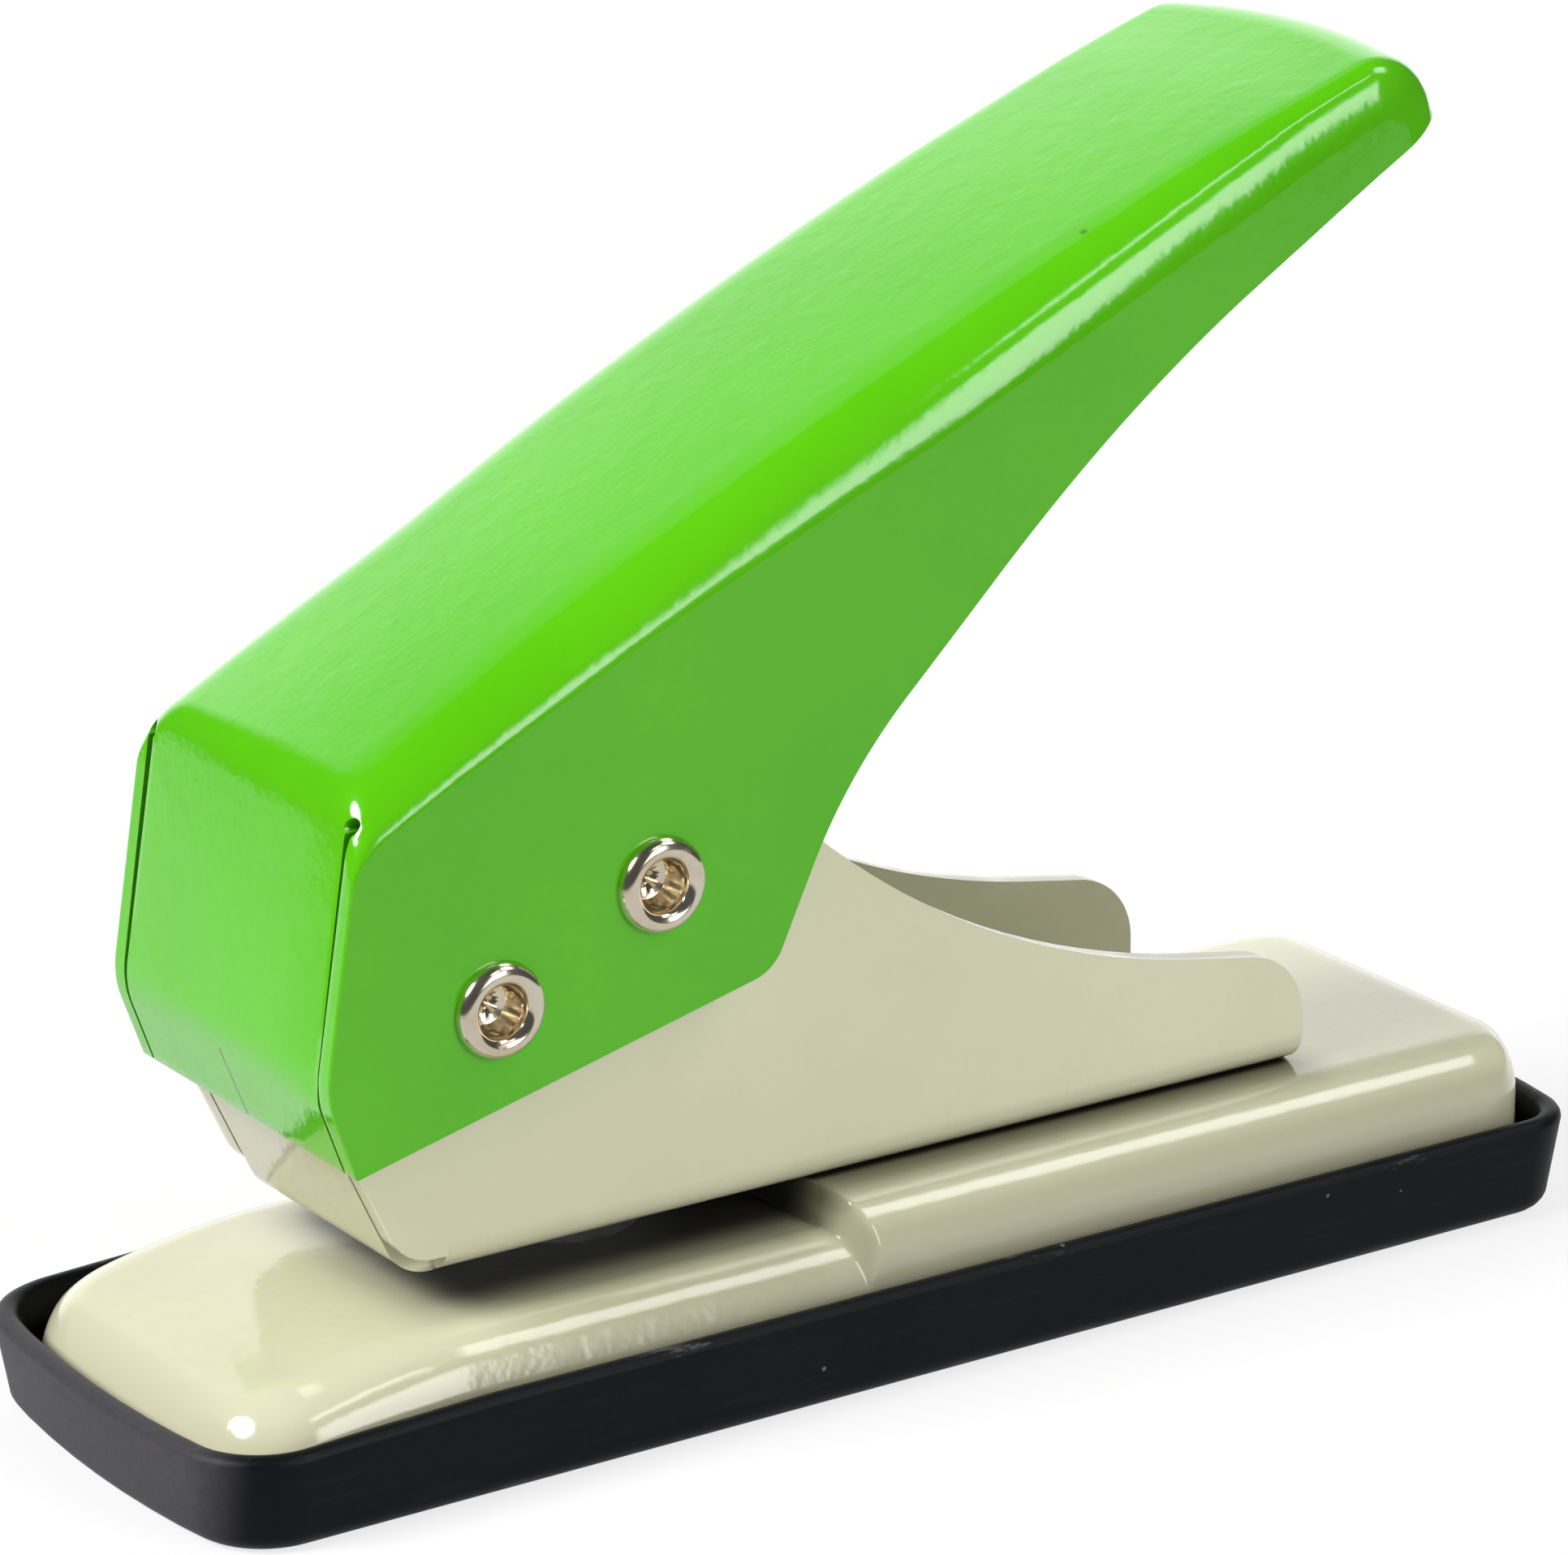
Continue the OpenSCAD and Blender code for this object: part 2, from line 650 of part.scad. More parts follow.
// The lever's filled outline, with its top, tip and front drawn in
function lever_outline(inset, wall) =
    let (
        down = unit(flap_bend - flap_top),
        back = unit(chin_end - flap_bend),
        front = flap_top + left(down) * wall,
        low = flap_bend + left(back) * wall,
        drop = inset + wall,
        last = tip_slope + drop / lever_crown * 180 / PI,
        head = meet(front, down, crown(lever_slope, drop), turn(lever_slope)),
        chin = meet(front, down, low, back),
        spare = chin_r
    )
    rounded(concat(
        [
            knot(head, brow_r - wall), knot(chin, chin_r - wall), knot(low + back * (chin_h + spare)),
            knot(skirt_end - [0, spare]), knot(crown(last, tip_h + spare)),
            knot(crown(last, drop), max(tip_r - drop, small_bend / 2))
        ],
        [for (i = [1:7]) knot(crown(last + (lever_slope - last) * i / 8, drop))]
    ));
module lever_solid(wall) {
    r = lever_bend - wall;
    y = lever_w / 2 - lever_bend;
    quarter = [for (i = [0:arc_steps]) 90 * i / arc_steps];
    side = [for (a = quarter) [y + r * sin(a), r - r * cos(a)]];
    levels = concat(
        [for (i = [arc_steps:-1:0]) [-side[i].x, side[i].y]],
        side
    );
    skin([
        for (v = levels) [for (p = lever_outline(v.y, wall)) [p.x, v.x, p.y]]
    ]);
}

module lever() {
    down = unit(flap_bend - flap_top);
    back = unit(chin_end - flap_bend);
    slit_y = lever_w / 2 - lever_t - flap_slit / 2;
    slit_top = flap_top + down * slit_drop;
    slit_depth = lever_t + flap_slit;
    far = lever_w;
    color(green) difference() {
        lever_solid(0);
        lever_solid(lever_t);
        side_prism(lever_w + over) polygon(rounded([
            knot(chin_end - far * turn(skirt_slope)),
            knot(skirt_end, brow_r),
            knot(neck, neck_r),
            knot(tip_end + far * turn(under_slope)),
            knot(tip_end + [far, -pivot.y]),
            knot(chin_end - [far, pivot.y])
        ], sweep_steps));
        for (at = [pivot, drive]) cross_pin(at, pin_d + 2 * seat_gap, lever_w + over);
        for (s = [-1, 1]) translate([0, s * slit_y, 0]) {
            side_prism(flap_slit) polygon([
                slit_top - left(down) * over, flap_bend - left(down) * over,
                flap_bend + back * (chin_h + over) - left(down) * over,
                flap_bend + back * (chin_h + over) + left(back) * slit_depth,
                flap_bend + left(down) * slit_depth, slit_top + left(down) * slit_depth
            ]);
            translate([slit_top.x, 0, slit_top.y]) rotate([0, 90, 0])
                cylinder(d = 3 * flap_slit, h = 2 * lever_t + over, center = true);
        }
    }
}

// A lever pin: a formed head on the far side, a rolled hollow end on the near side
module lever_pin(at) {
    half = lever_w / 2;
    rim_r = pin_head_h / 2;
    color(nickel) translate([at.x, 0, at.y]) rotate([90, 0, 0]) difference() {
        union() {
            translate([0, 0, -half]) cylinder(d = pin_d, h = lever_w);
            translate([0, 0, -half]) mirror([0, 0, 1]) domed_head(pin_head_d, pin_head_h);
            translate([0, 0, half]) cylinder(d = pin_head_d - 2 * rim_r, h = pin_head_h);
            translate([0, 0, half + rim_r]) rotate_extrude()
                translate([pin_head_d / 2 - rim_r, 0]) circle(rim_r);
        }
        translate([0, 0, half + pin_head_h - pin_hollow_h])
            cylinder(d = pin_hollow_d, h = pin_hollow_h + over);
        translate([0, 0, half + pin_head_h - pin_hollow_h - pin_hollow_d / 3])
            cylinder(d1 = 0.2, d2 = pin_hollow_d, h = pin_hollow_d / 3);
    }
}
module pivot_pin() { lever_pin(pivot); }
module drive_pin() { lever_pin(drive); }

module drive_sleeve() {
    color(steel) difference() {
        cross_pin(drive, sleeve_d, frame_in - 4 * side_gap);
        cross_pin(drive, pin_d + 2 * run_gap, frame_w);
    }
}

module spacer_washers() {
    color(steel) for (at = [pivot, drive], s = [-1, 1])
        translate([0, s * (lever_w / 2 - lever_t - spacer_t / 2), 0]) difference() {
            cross_pin(at, spacer_d, spacer_t);
            cross_pin(at, pin_d + 2 * seat_gap, spacer_t + over);
        }
}

chip_tray();
base();
die_plate();
die_rivets();
frame();
frame_rivets();
punch_guide();
guide_rivets();
punch_pin();
spring_washer();
retaining_clip();
return_spring();
lever();
pivot_pin();
drive_pin();
drive_sleeve();
spacer_washers();
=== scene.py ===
"""Looks of a single hole punch: an enamelled lever, frame and base over a black chip tray.

Lengths in the shape functions are millimetres, with the tray's bottom centre as the origin, the
handle's tip towards +X and the near side towards -Y. A piece becomes metres when it is made.
"""
import math

import bmesh
import bpy
import numpy as np
from mathutils import Matrix, Vector


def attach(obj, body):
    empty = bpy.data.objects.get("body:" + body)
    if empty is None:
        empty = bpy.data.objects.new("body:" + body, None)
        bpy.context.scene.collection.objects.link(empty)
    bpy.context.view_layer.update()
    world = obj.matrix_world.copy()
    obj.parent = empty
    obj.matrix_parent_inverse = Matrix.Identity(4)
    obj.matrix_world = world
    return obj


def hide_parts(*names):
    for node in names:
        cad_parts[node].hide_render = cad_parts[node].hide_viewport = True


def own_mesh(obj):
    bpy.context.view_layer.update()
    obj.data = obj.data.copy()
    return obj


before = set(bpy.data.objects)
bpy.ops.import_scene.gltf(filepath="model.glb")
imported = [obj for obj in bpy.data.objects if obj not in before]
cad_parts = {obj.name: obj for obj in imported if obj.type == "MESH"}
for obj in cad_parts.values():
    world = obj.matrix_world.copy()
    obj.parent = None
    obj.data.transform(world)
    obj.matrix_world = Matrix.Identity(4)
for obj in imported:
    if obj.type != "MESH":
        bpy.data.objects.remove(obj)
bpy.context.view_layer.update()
MM = 0.001

# Sizes of the tray
TRAY_FRONT_X, TRAY_REAR_X, TRAY_HALF_W, TRAY_H = -52.5, 53.0, 16.8, 7.0
TRAY_WALL, TRAY_FLOOR, TRAY_BOW, TRAY_DRAFT, TRAY_FOOT_R = 1.6, 1.6, 1.5, 0.7, 1.5
TRAY_REAR_R, TRAY_FRONT_R, TRAY_RIM_R = 4.6, 6.0, 0.7
# The tray gets lower by a share of its height ahead of DIP_X, over DIP_L
TRAY_DIP, DIP_X, DIP_L = 0.07, -34.0, 14.0
# Sizes of the base
BASE_Z, BASE_T, BASE_FRONT_X, BASE_REAR_X, BASE_HALF_W = 1.6, 1.2, -50.2, 50.725, 14.9
BASE_CORNER, BASE_EDGE, BASE_FRONT_Z = 6.5, 3.8, 9.9
# The base's long edges get rounder by EDGE_MORE ahead of EDGE_X, over EDGE_L
EDGE_MORE, EDGE_X, EDGE_L = 1.0, -26.0, 18.0
FRONT_DROP, FRONT_CURVE, STEP_X, STEP_L, STEP_H, STEP_BOW = 3.0, 17.0, -5.987, 1.1, 2.3, 1.6
# Sizes of the frame
FRAME_HALF_W, FRAME_T, FRAME_BEND = 10.15, 1.5, 2.4
FRAME_Z, FRAME_FLOOR_Z, FRAME_REAR_X, CHEEK_Z, BOSS_MORE = 12.2, 13.7, 32.85, 13.7, 3.3
FRONT_LEAN, FRONT_BEND, FRONT_HALF_W, FRONT_AHEAD, FRONT_TOP_Z = 65.0, 3.2, 8.35, 8.1, 20.2
# The cheek's outline: its rear, the hollow in its top, and the crest round the drive pin
REAR_H, REAR_R, SAG_BACK, SAG_H, SAG_R = 7.6, 5.0, 37.15, 12, 60.0
CREST_BACK, CREST_AHEAD, CREST_R, CREST_FRONT_R = 7, 4, 5.0, 4.0
# Pins, in the side view, and the lever's swing in degrees
PIVOT, DRIVE, DRIVE_END = np.array((-30.35, 29.95)), np.array((-18.920, 35.599)), np.array((-17.655, 31.128))
SWING, ARM_R, PIN_R, PIN_HEAD_R, PIN_HEAD_H = 21, 12.75, 2.0, 3.05, 0.9
HOLLOW_R, HOLLOW_DEEP, STAR_RISE, STAR_ARMS = 1.55, 2.4, 0.2, 4
PUNCH_X, PUNCH_HOLE_R, DIE_HOLE_R = -18.287, 3.05, 5.03
SPACER_R, SPACER_T, SPACER_Y = 4.0, 1.65, 11.075
# Sizes of the lever
LEVER_HALF_W, LEVER_T, LEVER_L, LEVER_SLOPE, CROWN_R = 13.2, 1.3, 88.3, 29.6, 560.0
BROW_R, CHIN_R, TIP_R, TIP_BOW, FLAP_BOW, CAMBER = 3.2, 6.0, 5.0, 1.8, 0.2, 0.3
# By the length from the lever's front: the fall of its side bend, the bend's tighter radius after BEND_TURN
# degrees, the lift of its top and the bulge of its walls
BEND_TURN = 51.0
BEND_STEPS = [6.0, 12.0, 18.0, 24.5, 31.0] + [38.0 + 6.5 * i for i in range(8)] + [90.0]
SIDE_BEND = ((0, 2.9), (20, 3.6), (41, 4.4), (67, 4.0), (81, 3.4))
SIDE_CORNER = ((0, 1.7), (18, 2.3), (36, 4.0), (67, 4.4), (81, 4.3))
TOP_LIFT = ((0, 0.3), (20, 0.25), (41, 0.3), (62, 0.12), (74, -0.15), (84, -0.5))
WALL_BULGE = ((16, 0.0), (32, 0.6), (45, 1.0), (57, 0.8), (70, 0.15), (82, -0.35))
FLAP_TOP, FLAP_BEND = np.array((-39.4, 44.05)), np.array((-42.2, 26.65))
CHIN_END, SKIRT_END = np.array((-40.26, 21.25)), np.array((-10.76, 28.496))
NECK, WAIST, UNDER_SLOPE = np.array((-5.54, 40.22)), np.array((13.64, 59.74)), 29.5
NECK_R, WAIST_R, SKIRT_R = 32.0, 90.0, 3.0
SLIT_INNER, SLIT_OUTER, SLIT_DROP, SKIRT_SLOPE = 11.55, 11.9, 1.5, 13.8
FLAP_EDGE_R, FLAP_ROLL, ROLL_L = 0.15, 0.2, 5.0
# The filled lever's length behind the flap's bend and below its cut, beyond what is left of it
CHIN_L, SPARE_L, SPARE_H = 5.7, 6.0, 6.5
# Rivets: the die's and the guide's are placed from the punch
RIVET_R, RIVET_HEAD_R, RIVET_HEAD_H = 1.2, 2.0, 0.8
DIE_RIVET_X, GUIDE_RIVET_X, GUIDE_RIVET_Y, FRAME_RIVETS_X = 7.5, 10.4, 4.0, (8, 25)
# Room round a fixed and round a moving pin
FIT, RUN = 0.03, 0.05
# Spring
WIRE_R, SPRING_R, SPRING_TURNS, SPRING_LOW, SPRING_RISE, SPRING_KEEP = 0.4, 4.0, 6.0, 14.15, 9.9, 0.586
# Camera: degrees, millimetres of lens and sensor, metres
CAMERA_TURN, CAMERA_TILT, CAMERA_ROLL = -33.794, 17.981, 0.187
CAMERA_LENS, CAMERA_SENSOR, CAMERA_AT = 148.08, 36.0, (-0.21595, -0.32091, 0.16085)
# Floor: its level to the camera and in mirrors, how pale it is to other light and to the camera
FLOOR_GLOW, FLOOR_PALE, FLOOR_SEEN = 0.77, 0.74, 0.2
# Levels of the room, its rear wall, the screen on it, the side window, the strip over it and the high window
ROOM, REAR_WALL, SCREEN, WINDOW, STRIP, HIGH_WINDOW = 0.08, 0.5, 1.0, 6.6, 6.0, 6.0

# Plane geometry in the side view


def turn(degrees):
    return np.array((math.cos(math.radians(degrees)), math.sin(math.radians(degrees))))


def unit(v):
    return v / np.linalg.norm(v)


def left(v):
    return np.array((-v[1], v[0]))


def across(u, v):
    return u[0] * v[1] - u[1] * v[0]


def meet(p, u, q, v):
    """Where the line through p along u crosses the line through q along v."""
    return p + u * across(q - p, v) / across(u, v)


def arc(centre, radius, start, sweep, steps):
    return [centre + radius * turn(start + sweep * i / steps) for i in range(steps + 1)]


def filleted(knots, steps=10):
    """An open line through (point, radius) knots, with its inner corners rounded."""
    line = [np.asarray(knots[0][0], float)]
    for (a, _), (b, r), (c, _) in zip(knots, knots[1:], knots[2:]):
        a, b, c = (np.asarray(p, float) for p in (a, b, c))
        if r == 0:
            line.append(b)
            continue
        to_a, to_c = unit(a - b), unit(c - b)
        half = math.acos(float(np.clip(to_a @ to_c, -1, 1))) / 2
        start = b + to_a * r / math.tan(half)
        centre = b + unit(to_a + to_c) * r / math.sin(half)
        angle = math.degrees(math.atan2(start[1] - centre[1], start[0] - centre[0]))
        side = 1 if across(b - a, c - b) > 0 else -1
        line.extend(arc(centre, r, angle, side * (180 - 2 * math.degrees(half)), steps))
    line.append(np.asarray(knots[-1][0], float))
    return line


def ease(share):
    c = min(max(share, 0.0), 1.0)
    return c * c * (3 - 2 * c)


def through(knots, s):
    """A smooth line through (place, value) knots, level beyond its ends."""
    at, value = [k[0] for k in knots], [k[1] for k in knots]
    if not at[0] < s < at[-1]:
        return value[0] if s <= at[0] else value[-1]
    inner = [(value[k + 1] - value[k - 1]) / (at[k + 1] - at[k - 1]) for k in range(1, len(at) - 1)]
    pitch = [0.0] + inner + [0.0]
    i = max(k for k in range(len(at) - 1) if at[k] <= s)
    span = at[i + 1] - at[i]
    c = (s - at[i]) / span
    rise = value[i] + (value[i + 1] - value[i]) * ease(c)
    return rise + span * c * (1 - c) * (pitch[i] * (1 - c) - pitch[i + 1] * c)


def round_off(depth, radius):
    """How far a rounded end has fallen back at a depth from it."""
    return 0.0 if depth >= radius else radius - math.sqrt(max(radius ** 2 - (radius - depth) ** 2, 0.0))


# Making and finishing meshes


class Sheet:
    """Patches of one piece's skin, gathered in millimetres."""

    def __init__(self):
        self.points, self.faces = [], []

    def grid(self, rows, ring=False):
        start, wide = len(self.points), len(rows[0])
        for row in rows:
            self.points.extend(tuple(p) for p in row)
        for i in range(len(rows) - 1):
            for j in range(wide if ring else wide - 1):
                k = (j + 1) % wide
                a, b = start + i * wide, start + (i + 1) * wide
                self.faces.append((a + j, a + k, b + k, b + j))

    def face(self, loop):
        start = len(self.points)
        self.points.extend(tuple(p) for p in loop)
        self.faces.append(tuple(range(start, start + len(loop))))

    def piece(self, name, inside):
        """The skin as one object, its doubles merged and its faces turned away from a point inside."""
        mesh = bpy.data.meshes.new(name)
        mesh.from_pydata([[MM * float(c) for c in p] for p in self.points], [], self.faces)
        work = bmesh.new()
        work.from_mesh(mesh)
        bmesh.ops.remove_doubles(work, verts=work.verts, dist=0.004 * MM)
        bmesh.ops.dissolve_degenerate(work, edges=work.edges, dist=0.002 * MM)
        bmesh.ops.recalc_face_normals(work, faces=work.faces)
        middle = Vector([MM * c for c in inside])
        flow = sum(f.calc_area() * f.normal.dot(f.calc_center_median() - middle) for f in work.faces)
        if flow < 0:
            bmesh.ops.reverse_faces(work, faces=work.faces)
        work.to_mesh(mesh)
        work.free()
        made = bpy.data.objects.new(name, mesh)
        bpy.context.scene.collection.objects.link(made)
        return made


def settle(piece):
    """The piece with its modifiers turned into plain mesh."""
    seen = piece.evaluated_get(bpy.context.evaluated_depsgraph_get())
    mesh = bpy.data.meshes.new_from_object(seen)
    piece.modifiers.clear()
    old, piece.data = piece.data, mesh
    bpy.data.meshes.remove(old)
    mesh.name = piece.name
    return piece


def drop(piece):
    mesh = piece.data
    bpy.data.objects.remove(piece)
    bpy.data.meshes.remove(mesh)


def turned(profile, steps, about, along):
    """A closed skin of a profile of (radius, height) pairs, turned round an axis through a point."""
    sheet = Sheet()
    axis = np.asarray(along, float)
    side = np.array((1.0, 0.0, 0.0)) if abs(axis[0]) < 0.5 else np.array((0.0, 1.0, 0.0))
    other = np.cross(axis, side)
    rows = []
    for r, h in profile:
        ring = []
        for i in range(steps):
            a = 2 * math.pi * i / steps
            ring.append(np.asarray(about) + axis * h + r * (side * math.cos(a) + other * math.sin(a)))
        rows.append(ring)
    sheet.grid(rows, ring=True)
    return sheet


def loft(name, rings, inside):
    """A closed skin through rings with the same number of points."""
    sheet = Sheet()
    sheet.grid(rings, ring=True)
    sheet.face(rings[0])
    sheet.face(rings[-1])
    return sheet.piece(name, inside)


def bore(radius, length):
    return [(0, -length / 2), (radius, -length / 2), (radius, length / 2), (0, length / 2)]


def drill(piece, cuts):
    """Cuts turned forms, given as (profile, point, axis), out of a piece."""
    sheet = Sheet()
    for profile, about, along in cuts:
        part = turned(profile, 48, about, along)
        base = len(sheet.points)
        sheet.points.extend(part.points)
        sheet.faces.extend(tuple(base + i for i in f) for f in part.faces)
    carve(piece, sheet.piece("cutter", (0, 0, -500)))


def carve(piece, tool):
    """Takes a closed tool out of a piece."""
    work = bmesh.new()
    work.from_mesh(tool.data)
    bmesh.ops.recalc_face_normals(work, faces=work.faces)
    work.to_mesh(tool.data)
    work.free()
    cut = piece.modifiers.new("cut", "BOOLEAN")
    cut.operation, cut.solver, cut.object = "DIFFERENCE", "EXACT", tool
    settle(piece)
    drop(tool)


def thicken(piece, wall):
    shell = piece.modifiers.new("wall", "SOLIDIFY")
    shell.thickness, shell.offset = wall * MM, -1
    shell.use_even_offset, shell.use_quality_normals = True, True
    return settle(piece)


def soften(piece, width, smooth=34):
    """Rounds the sharp edges, marks the rounded strips in a face attribute, and shades it."""
    piece.data.materials.clear()
    for _ in range(2):
        piece.data.materials.append(None)
    if width:
        edge = piece.modifiers.new("edge", "BEVEL")
        edge.width, edge.segments, edge.limit_method = width * MM, 2, "ANGLE"
        edge.angle_limit, edge.material = math.radians(40), 1
        edge.miter_outer = "MITER_ARC"
        settle(piece)
    mesh = piece.data
    worn = np.zeros(len(mesh.polygons), dtype=np.int32)
    mesh.polygons.foreach_get("material_index", worn)
    mark = mesh.attributes.new("rubbed_edge", "FLOAT", "FACE")
    mark.data.foreach_set("value", worn.astype(np.float32))
    mesh.polygons.foreach_set("material_index", np.zeros_like(worn))
    mesh.polygons.foreach_set("use_smooth", np.ones(len(mesh.polygons), dtype=bool))
    mesh.materials.clear()
    mesh.set_sharp_from_angle(angle=math.radians(smooth))
    even = piece.modifiers.new("even", "WEIGHTED_NORMAL")
    even.mode, even.weight, even.keep_sharp = "FACE_AREA", 60, True
    return settle(piece)


# Shader nodes as Python expressions


class Wire:
    """A node's output that takes part in Python sums."""

    def __init__(self, board, socket):
        self.board, self.socket = board, socket

    def sum(self, operation, first, second=0.0, third=0.0):
        return self.board.node("ShaderNodeMath", {"operation": operation}, {0: first, 1: second, 2: third})

    def __add__(self, other):
        return self.sum("ADD", self, other)

    def __sub__(self, other):
        return self.sum("SUBTRACT", self, other)

    def __mul__(self, other):
        return self.sum("MULTIPLY", self, other)

    def __truediv__(self, other):
        return self.sum("DIVIDE", self, other)

    def __radd__(self, other):
        return self.sum("ADD", other, self)

    def __rsub__(self, other):
        return self.sum("SUBTRACT", other, self)

    def __rmul__(self, other):
        return self.sum("MULTIPLY", other, self)

    def __rtruediv__(self, other):
        return self.sum("DIVIDE", other, self)

    def between(self, low, high):
        """0 below low, 1 above high, smooth between them."""
        return self.board.node(
            "ShaderNodeMapRange", {"interpolation_type": "SMOOTHSTEP"},
            {"Value": self, "From Min": low, "From Max": high},
        )

    def band(self, rise, fall):
        """1 between two soft edges, each given as its start and end."""
        return self.between(*rise) * (1 - self.between(*fall))

    def most(self, other):
        return self.sum("MAXIMUM", self, other)


class Board:
    """A node tree that is filled by one method."""

    def __init__(self, tree):
        self.tree = tree
        tree.nodes.clear()

    def node(self, kind, settings=None, sockets=None, out=0):
        made = self.tree.nodes.new(kind)
        for key, value in (settings or {}).items():
            setattr(made, key, value)
        for key, value in (sockets or {}).items():
            socket = made.inputs[key]
            if isinstance(value, Wire):
                self.tree.links.new(value.socket, socket)
            else:
                socket.default_value = value
        return Wire(self, made.outputs[out]) if len(made.outputs) else made

    def mixed(self, share, first, second):
        return self.node(
            "ShaderNodeMix", {"data_type": "RGBA"}, {0: share, 6: first, 7: second}, out=2
        )

    def axes(self, vector):
        split = self.node("ShaderNodeSeparateXYZ", {}, {"Vector": vector}).socket.node
        return [Wire(self, out) for out in split.outputs]

    def stretched(self, place, scale, angle=(0.0, 0.0, 0.0)):
        return self.node("ShaderNodeMapping", {}, {"Vector": place, "Scale": scale, "Rotation": angle})

    def noise(self, place, scale, detail=2.0, rough=0.5):
        return self.node(
            "ShaderNodeTexNoise", {},
            {"Vector": place, "Scale": scale, "Detail": detail, "Roughness": rough},
        )

    def specks(self, place, scale, size, share):
        """1 in small round spots of different sizes, in a share of the cells of a scattered grid."""
        far = self.node("ShaderNodeTexVoronoi", {}, {"Vector": place, "Scale": scale}, out="Distance")
        tint = self.node("ShaderNodeTexVoronoi", {}, {"Vector": place, "Scale": scale}, out="Color")
        pick = self.node("ShaderNodeSeparateColor", {}, {"Color": tint}, out="Red")
        girth = self.node("ShaderNodeSeparateColor", {}, {"Color": tint}, out="Green")
        chosen = pick.between(1 - share, 1 - share + 0.02)
        return (1 - (far / (0.35 + girth)).between(size * 0.5, size)) * chosen

    def streaks(self, place, scale, angle, low, high):
        """1 along thin broken scratches that run one way."""
        return self.noise(self.stretched(place, scale, angle), 1.0, 3.0, 0.6).between(low, high)

    def dents(self, height, strength, distance):
        return self.node(
            "ShaderNodeBump", {}, {"Height": height, "Strength": strength, "Distance": distance}
        )


def colour(red, green, blue):
    """A colour given in the screen's 0 to 255, as the renderer's linear values."""
    def linear(v):
        v /= 255.0
        return v / 12.92 if v <= 0.04045 else ((v + 0.055) / 1.055) ** 2.4
    return (linear(red), linear(green), linear(blue), 1.0)


class Finish(Board):
    """A procedural finish round one Principled shader."""

    def __init__(self, name, **uniform):
        self.material = bpy.data.materials.new(name)
        self.material.use_nodes = True
        super().__init__(self.material.node_tree)
        self.uniform = {self.label(key): v for key, v in uniform.items()}
        self.place = self.node("ShaderNodeTexCoord", {}, {}, out="Object")
        self.edge = self.node("ShaderNodeAttribute", {"attribute_name": "rubbed_edge"}, {}, out="Fac")
        self.x, self.y, self.z = (axis / MM for axis in self.axes(self.place))

    def label(self, key):
        return key.replace("_", " ").title().replace("Ior", "IOR")

    def box(self, x=(None, None), off=(None, None), z=(None, None)):
        """1 inside a box with soft sides. An axis has the start and end of its rise and those of its fall;
        off is the square of the distance from the middle plane."""
        inside = 1.0
        for axis, (rise, fall) in ((self.x, x), (self.y * self.y, off), (self.z, z)):
            if rise:
                inside = axis.between(*rise) * inside
            if fall:
                inside = (1 - axis.between(*fall)) * inside
        return inside

    def close(self, **changing):
        sockets = dict(self.uniform)
        sockets.update({self.label(key): v for key, v in changing.items()})
        shader = self.node("ShaderNodeBsdfPrincipled", {}, sockets)
        self.node("ShaderNodeOutputMaterial", {}, {"Surface": shader})
        return self.material


# Painted shade on the enamel, darker colour where shade falls beside, under and inside the frame and on the base:
# their box, their share, what clouding adds to it, and their colour. Darker places on the enamel, set to the
# photo's level, where it may show shade as well as dirt: their box, their share, what clouding adds to it, and
# their colour
PAINTED_SHADE = (
    # Painted shade on the base's flank by the tray
    (dict(x=((-47, -36), (46, 50)), off=((158, 214), None), z=(None, (9.8, 12.0))), 0.22, 0.2, (92, 84, 52)),
    # Painted shade on the base's top beside the frame
    (dict(x=((-6, -5), (31.5, 36)), off=(None, (92, 184)), z=((10.6, 11.4), (12.4, 12.7))),
     0.62, 0.2, (84, 78, 50)),
    # Painted shade inside the frame's channel, on the far cheek under the lever
    (dict(x=((-4, 2), None), off=(None, (90, 97)), z=((13.6, 14.4), (30, 32))), 0.4, 0.2, (118, 115, 92)),
    # Painted shade on the base's front
    (dict(x=(None, (-9, -6)), z=(None, (11.6, 12.1))), 0.38, 0.14, (180, 176, 148)),
    # Painted shade on the frame's nose, where the lever's chin shades it
    (dict(x=(None, (-33, -30)), off=(None, (90, 100)), z=((12.6, 13.2), (19, 20.5))), 0.4, 0.0, (150, 147, 118)),
)
# Painted shadow, nearly black, in the paper slot and in the groove under the frame
SLOT_SHADOW = dict(x=((-36, -29), (-5.7, -4.7)), off=(None, (44, 160)), z=((5, 9), (12.3, 12.6)))
GROOVE_SHADOW = dict(x=((-6, -5), (32.2, 32.8)), off=(None, (76, 90)), z=((11.9, 12.1), (12.4, 12.7)))
# The long scratch under the lever's flap: its middle, its lean, the square of its half width and its ends
SCRATCH_Y, SCRATCH_Z, SCRATCH_LEAN, SCRATCH_WIDE = 0.065, 23.67, 0.11, (0.004, 0.02)
SCRATCH_ENDS, SCRATCH_BACK = ((21.2, 21.6), (25.6, 26.1)), (-39.0, -38.0)


